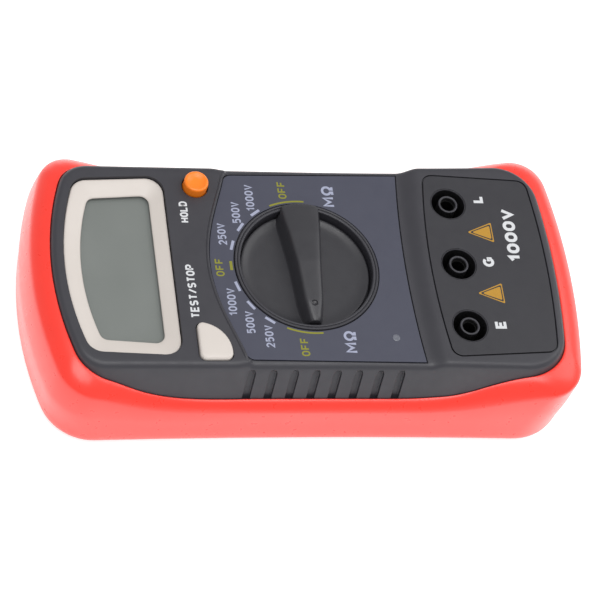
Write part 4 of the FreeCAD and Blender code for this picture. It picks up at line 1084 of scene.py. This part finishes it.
# Pen strokes of each character in a box one wide and one high
RING = bow(0.5, 0.6, 0.5, 0.4, 0, 180) + bow(0.5, 0.4, 0.5, 0.4, 180, 360) + [(1.0, 0.6)]
STROKES = {
    "0": [RING],
    "1": [[(0.0, 0.72), (0.8, 1.0), (0.8, 0.0)]],
    "2": [bow(0.5, 0.7, 0.48, 0.3, 170, -35) + [(0.0, 0.0), (1.0, 0.0)]],
    "5": [[(0.95, 1.0), (0.1, 1.0), (0.05, 0.55)] + bow(0.45, 0.33, 0.53, 0.33, 120, -140)],
    "D": [[(0.0, 0.5), (0.0, 1.0), (0.45, 1.0)] + bow(0.5, 0.5, 0.5, 0.5, 80, -80)
          + [(0.45, 0.0), (0.0, 0.0), (0.0, 0.5)]],
    "E": [[(1.0, 1.0), (0.0, 1.0), (0.0, 0.0), (1.0, 0.0)], [(0.0, 0.52), (0.85, 0.52)]],
    "F": [[(1.0, 1.0), (0.0, 1.0), (0.0, 0.0)], [(0.0, 0.5), (0.85, 0.5)]],
    "G": [bow(0.5, 0.5, 0.5, 0.5, 45, 320, 22) + [(1.0, 0.2), (1.0, 0.46), (0.6, 0.46)]],
    "H": [[(0.0, 0.0), (0.0, 1.0)], [(1.0, 0.0), (1.0, 1.0)], [(0.0, 0.5), (1.0, 0.5)]],
    "L": [[(0.0, 1.0), (0.0, 0.0), (1.0, 0.0)]],
    "M": [[(0.0, 0.0), (0.0, 1.0), (0.5, 0.35), (1.0, 1.0), (1.0, 0.0)]],
    "O": [RING],
    "P": [[(0.0, 0.0), (0.0, 1.0), (0.55, 1.0)] + bow(0.6, 0.71, 0.4, 0.29, 80, -80)
          + [(0.55, 0.42), (0.0, 0.42)]],
    "S": [bow(0.5, 0.75, 0.48, 0.25, 25, 250) + bow(0.5, 0.25, 0.48, 0.25, 70, -155)],
    "T": [[(0.0, 1.0), (1.0, 1.0)], [(0.5, 1.0), (0.5, 0.0)]],
    "V": [[(0.0, 1.0), (0.5, 0.0), (1.0, 1.0)]],
    "/": [[(0.0, 0.0), (1.0, 1.0)]],
    "\u03a9": [[(0.0, 0.0), (0.3, 0.0)] + bow(0.5, 0.58, 0.48, 0.42, 245, -65, 24)
               + [(0.7, 0.0), (1.0, 0.0)]],
}
STROKE_WIDTHS = {"1": 0.6, "M": 1.3, "V": 1.15, "\u03a9": 1.3, "/": 0.8}
LETTER_GAP = 0.62


def ribbon(points, weight, z):
    """A flat stroke of one width along a path, with mitred turns."""
    points = np.array(points)
    ahead = np.diff(points, axis=0)
    ahead /= np.linalg.norm(ahead, axis=1)[:, None]
    normals = np.stack([-ahead[:, 1], ahead[:, 0]], 1)
    before = np.vstack([normals[:1], normals])
    after = np.vstack([normals, normals[-1:]])
    mitre = (before + after) / np.maximum(1.0 + np.sum(before * after, axis=1), 0.45)[:, None]
    left = points + mitre * weight / 2.0
    right = points - mitre * weight / 2.0
    count = len(points)
    vertices = []
    for level in (z - INK / 2.0, z + INK / 2.0):
        for side in (left, right):
            vertices += [(x, y, level) for x, y in side]
    faces = []
    corners = (0, count, 3 * count, 2 * count)
    for i in range(count - 1):
        for a, b in zip(corners, corners[1:] + corners[:1]):
            faces.append((a + i, a + i + 1, b + i + 1, b + i))
    faces += [corners, tuple(corner + count - 1 for corner in corners)]
    return make_object("stroke", vertices, faces, 60.0)


def lettering(text, width, height, weight, x, y, z):
    """Stroked capitals and figures of a width and a height, centred at (x, y)."""
    shares = [STROKE_WIDTHS.get(letter, 1.0) for letter in text]
    unit = (width - weight) / (sum(shares) + LETTER_GAP * (len(text) - 1))
    tall = height - weight
    start = x - (width - weight) / 2.0
    strokes = []
    for letter, share in zip(text, shares):
        for layer, path in enumerate(STROKES[letter]):
            placed = [(start + px * share * unit, y + (py - 0.5) * tall) for px, py in path]
            strokes.append(ribbon(placed, weight, z + layer * 0.002))
        start += (share + LETTER_GAP) * unit
    return strokes


def tick_mesh(angle_deg, radius, length, width, z):
    """A short printed bar across the radius at a clock angle, clockwise from the top."""
    angle = math.radians(90.0 - angle_deg)
    along = np.array([-math.sin(angle), math.cos(angle)])
    out = np.array([math.cos(angle), math.sin(angle)])
    middle = out * radius
    corners = [middle + along * a * length / 2.0 + out * b * width / 2.0
               for a, b in ((-1, -1), (1, -1), (1, 1), (-1, 1))]
    return prism("tick", np.array(corners), z - INK / 2.0, z + INK / 2.0)


def arc_mesh(start_deg, end_deg, radius, width, z):
    angles = np.radians(90.0 - np.linspace(start_deg, end_deg, 24))
    outer = np.stack([np.cos(angles), np.sin(angles)], 1) * (radius + width / 2.0)
    inner = np.stack([np.cos(angles), np.sin(angles)], 1) * (radius - width / 2.0)
    return prism("arc", np.concatenate([outer, inner[::-1]]), z - INK / 2.0, z + INK / 2.0)


SIGN_HALF = 3.4


def triangle_loop(x, apex_y, foot_y, shrink):
    right = (x + SIGN_HALF - shrink * 1.7, foot_y + shrink)
    apex = (x, apex_y - 2.1 * shrink)
    left = (x - SIGN_HALF + shrink * 1.7, foot_y + shrink)
    sides = [line_points(right, apex, 12), line_points(apex, left, 12), line_points(left, right, 12)]
    return round_corners(sides, (0.3, 0.3, 0.3), 10, 4)


def ink_piece(name, objects, material, slot):
    return dress(joined(name, objects), slot, material=material)


FIGURE_WEIGHT = 0.45
TICK_RADIUS = 22.0
# The dial's test voltages: clock angle of the tick, the figures, their middle and their width
VOLTAGES = (
    (18, "250V", 10.5, 23.5, 7.2), (36, "500V", 17.8, 18.6, 7.2), (54, "1000V", 22.9, 14.0, 8.9),
    (-18, "1000V", -11.9, 23.2, 8.9), (-36, "500V", -18.5, 18.8, 7.2), (-54, "250V", -23.0, 13.8, 7.2),
)


def make_printing():
    label_z = DIAL_Z + 0.04 + INK / 2.0
    face = DISPLAY_Z + INK / 2.0
    panel_z = JACK_Z + INK / 2.0
    pale = []
    for angle, text, x, y, width in VOLTAGES:
        pale += lettering(text, width, 2.5, FIGURE_WEIGHT, x, y, label_z)
        pale.append(tick_mesh(angle, TICK_RADIUS, 3.2, 0.8, label_z))
    for x in (-24.7, 23.8):
        pale += lettering("M\u03a9", 7.1, 3.6, 0.72, x, -9.4, label_z)
    ink_piece("dial_figures", pale, PALE_INK, "label_film")
    olive = []
    for x, y in ((-0.6, 25.4), (25.7, 4.1), (-26.4, 4.0)):
        olive += lettering("OFF", 5.9, 2.45, FIGURE_WEIGHT, x, y, label_z)
    olive.append(tick_mesh(0, TICK_RADIUS, 3.0, 0.8, label_z))
    olive += [arc_mesh(side * 67.5, side * 95.0, 21.9, 0.55, label_z) for side in (-1, 1)]
    ink_piece("off_marks", olive, OLIVE_INK, "label_film")
    white = lettering("HOLD", 7.1, 2.4, 0.5, 17.25, 33.9, face)
    white += lettering("TEST/STOP", 17.4, 2.5, 0.52, -8.95, 34.25, face)
    ink_piece("key_names", white, WHITE_INK, "case_plastic")
    white = lettering("L", 2.65, 3.35, 0.9, 22.3, -53.75, panel_z)
    white += lettering("G", 3.2, 3.4, 0.9, 0.8, -53.6, panel_z)
    white += lettering("E", 2.7, 3.35, 0.85, -20.1, -53.7, panel_z)
    white += lettering("1000V", 18.0, 3.8, 1.0, 10.0, -61.9, panel_z)
    ink_piece("jack_names", white, WHITE_INK, "panel_film")
    signs = ((10.9, -48.75, -56.5), (-9.7, -48.5, -56.3))
    faces = []
    lines = []
    for x, apex, foot in signs:
        faces.append(prism("sign", triangle_loop(x, apex, foot, 0.0), JACK_Z, panel_z))
        lines.append(prism("line", triangle_loop(x, apex, foot, 0.32), JACK_Z, panel_z + 0.01))
        faces.append(prism("sign", triangle_loop(x, apex, foot, 0.66), JACK_Z, panel_z + 0.02))
    ink_piece("sign_borders", lines, BLACK_INK, "panel_film")
    ink_piece("sign_faces", faces, SIGN_INK, "panel_film")


# ---------------------------------------------------------------- stage, light and camera

def pale_floor():
    material, tree, shader, coords = new_material("pale_floor")
    vary_color(tree, shader, noise_node(tree, coords, 40.0), (0.6, 0.6, 0.6), (0.64, 0.64, 0.64))
    shader.inputs["Roughness"].default_value = 0.8
    shader.inputs["Specular IOR Level"].default_value = 0.1
    shader.inputs["Emission Color"].default_value = (1.0, 1.0, 1.0, 1.0)
    shader.inputs["Emission Strength"].default_value = 0.75
    return material


FLOOR_HALF = 6000.0
WORLD_STRENGTH = 0.55
# Place, size and power of each lamp
LAMPS = {
    "key_light": ((-250.0, 60.0, 1270.0), 1100.0, 10.5),
    "fill_light": ((200.0, -900.0, 850.0), 1000.0, 4.5),
}


def make_stage():
    corners = [(x * FLOOR_HALF, y * FLOOR_HALF, 0.0) for x, y in ((-1, -1), (1, -1), (1, 1), (-1, 1))]
    floor = make_object("floor", corners, [(0, 1, 2, 3)])
    floor.data.materials.append(pale_floor())
    world = bpy.data.worlds.new("studio")
    world.use_nodes = True
    background = world.node_tree.nodes["Background"]
    background.inputs["Color"].default_value = (1.0, 1.0, 1.0, 1.0)
    background.inputs["Strength"].default_value = WORLD_STRENGTH
    bpy.context.scene.world = world
    for name, lamp in LAMPS.items():
        add_light(name, *lamp)


def add_light(name, place, size, power):
    data = bpy.data.lights.new(name, "AREA")
    data.shape = "DISK"
    data.size = size * MM
    data.energy = power
    light = add_object(name, data)
    light.location = Vector(place) * MM
    light.rotation_euler = (-Vector(place)).to_track_quat("-Z", "Y").to_euler()


CAMERA_PLACE = (-411.52, 208.61, 687.56)
CAMERA_RIGHT = (-0.1277, -0.9662, 0.2239)
CAMERA_FORWARD = (0.503, -0.2577, -0.825)
CAMERA_LENS = 170.38


def make_camera():
    data = bpy.data.cameras.new("camera")
    data.sensor_width = 36.0
    data.lens = CAMERA_LENS
    data.clip_start = 0.01
    data.clip_end = 20.0
    camera = add_object("camera", data)
    back = -Vector(CAMERA_FORWARD).normalized()
    right = Vector(CAMERA_RIGHT)
    right = (right - back * right.dot(back)).normalized()
    up = back.cross(right)
    turn = Matrix((right, up, back)).transposed().to_4x4()
    camera.matrix_world = Matrix.Translation(Vector(CAMERA_PLACE) * MM) @ turn
    bpy.context.scene.camera = camera


def make_all():
    make_camera()
    make_stage()
    dress_frame()
    make_holster()
    make_front_case()
    make_ridge()
    make_well_ring()
    make_label()
    make_panel()
    make_bezel()
    make_knob()
    make_hold_key()
    make_test_key()
    for name in JACKS:
        make_jack(name)
    make_lamp()
    make_printing()
    bpy.context.scene.view_settings.view_transform = "Standard"


make_all()
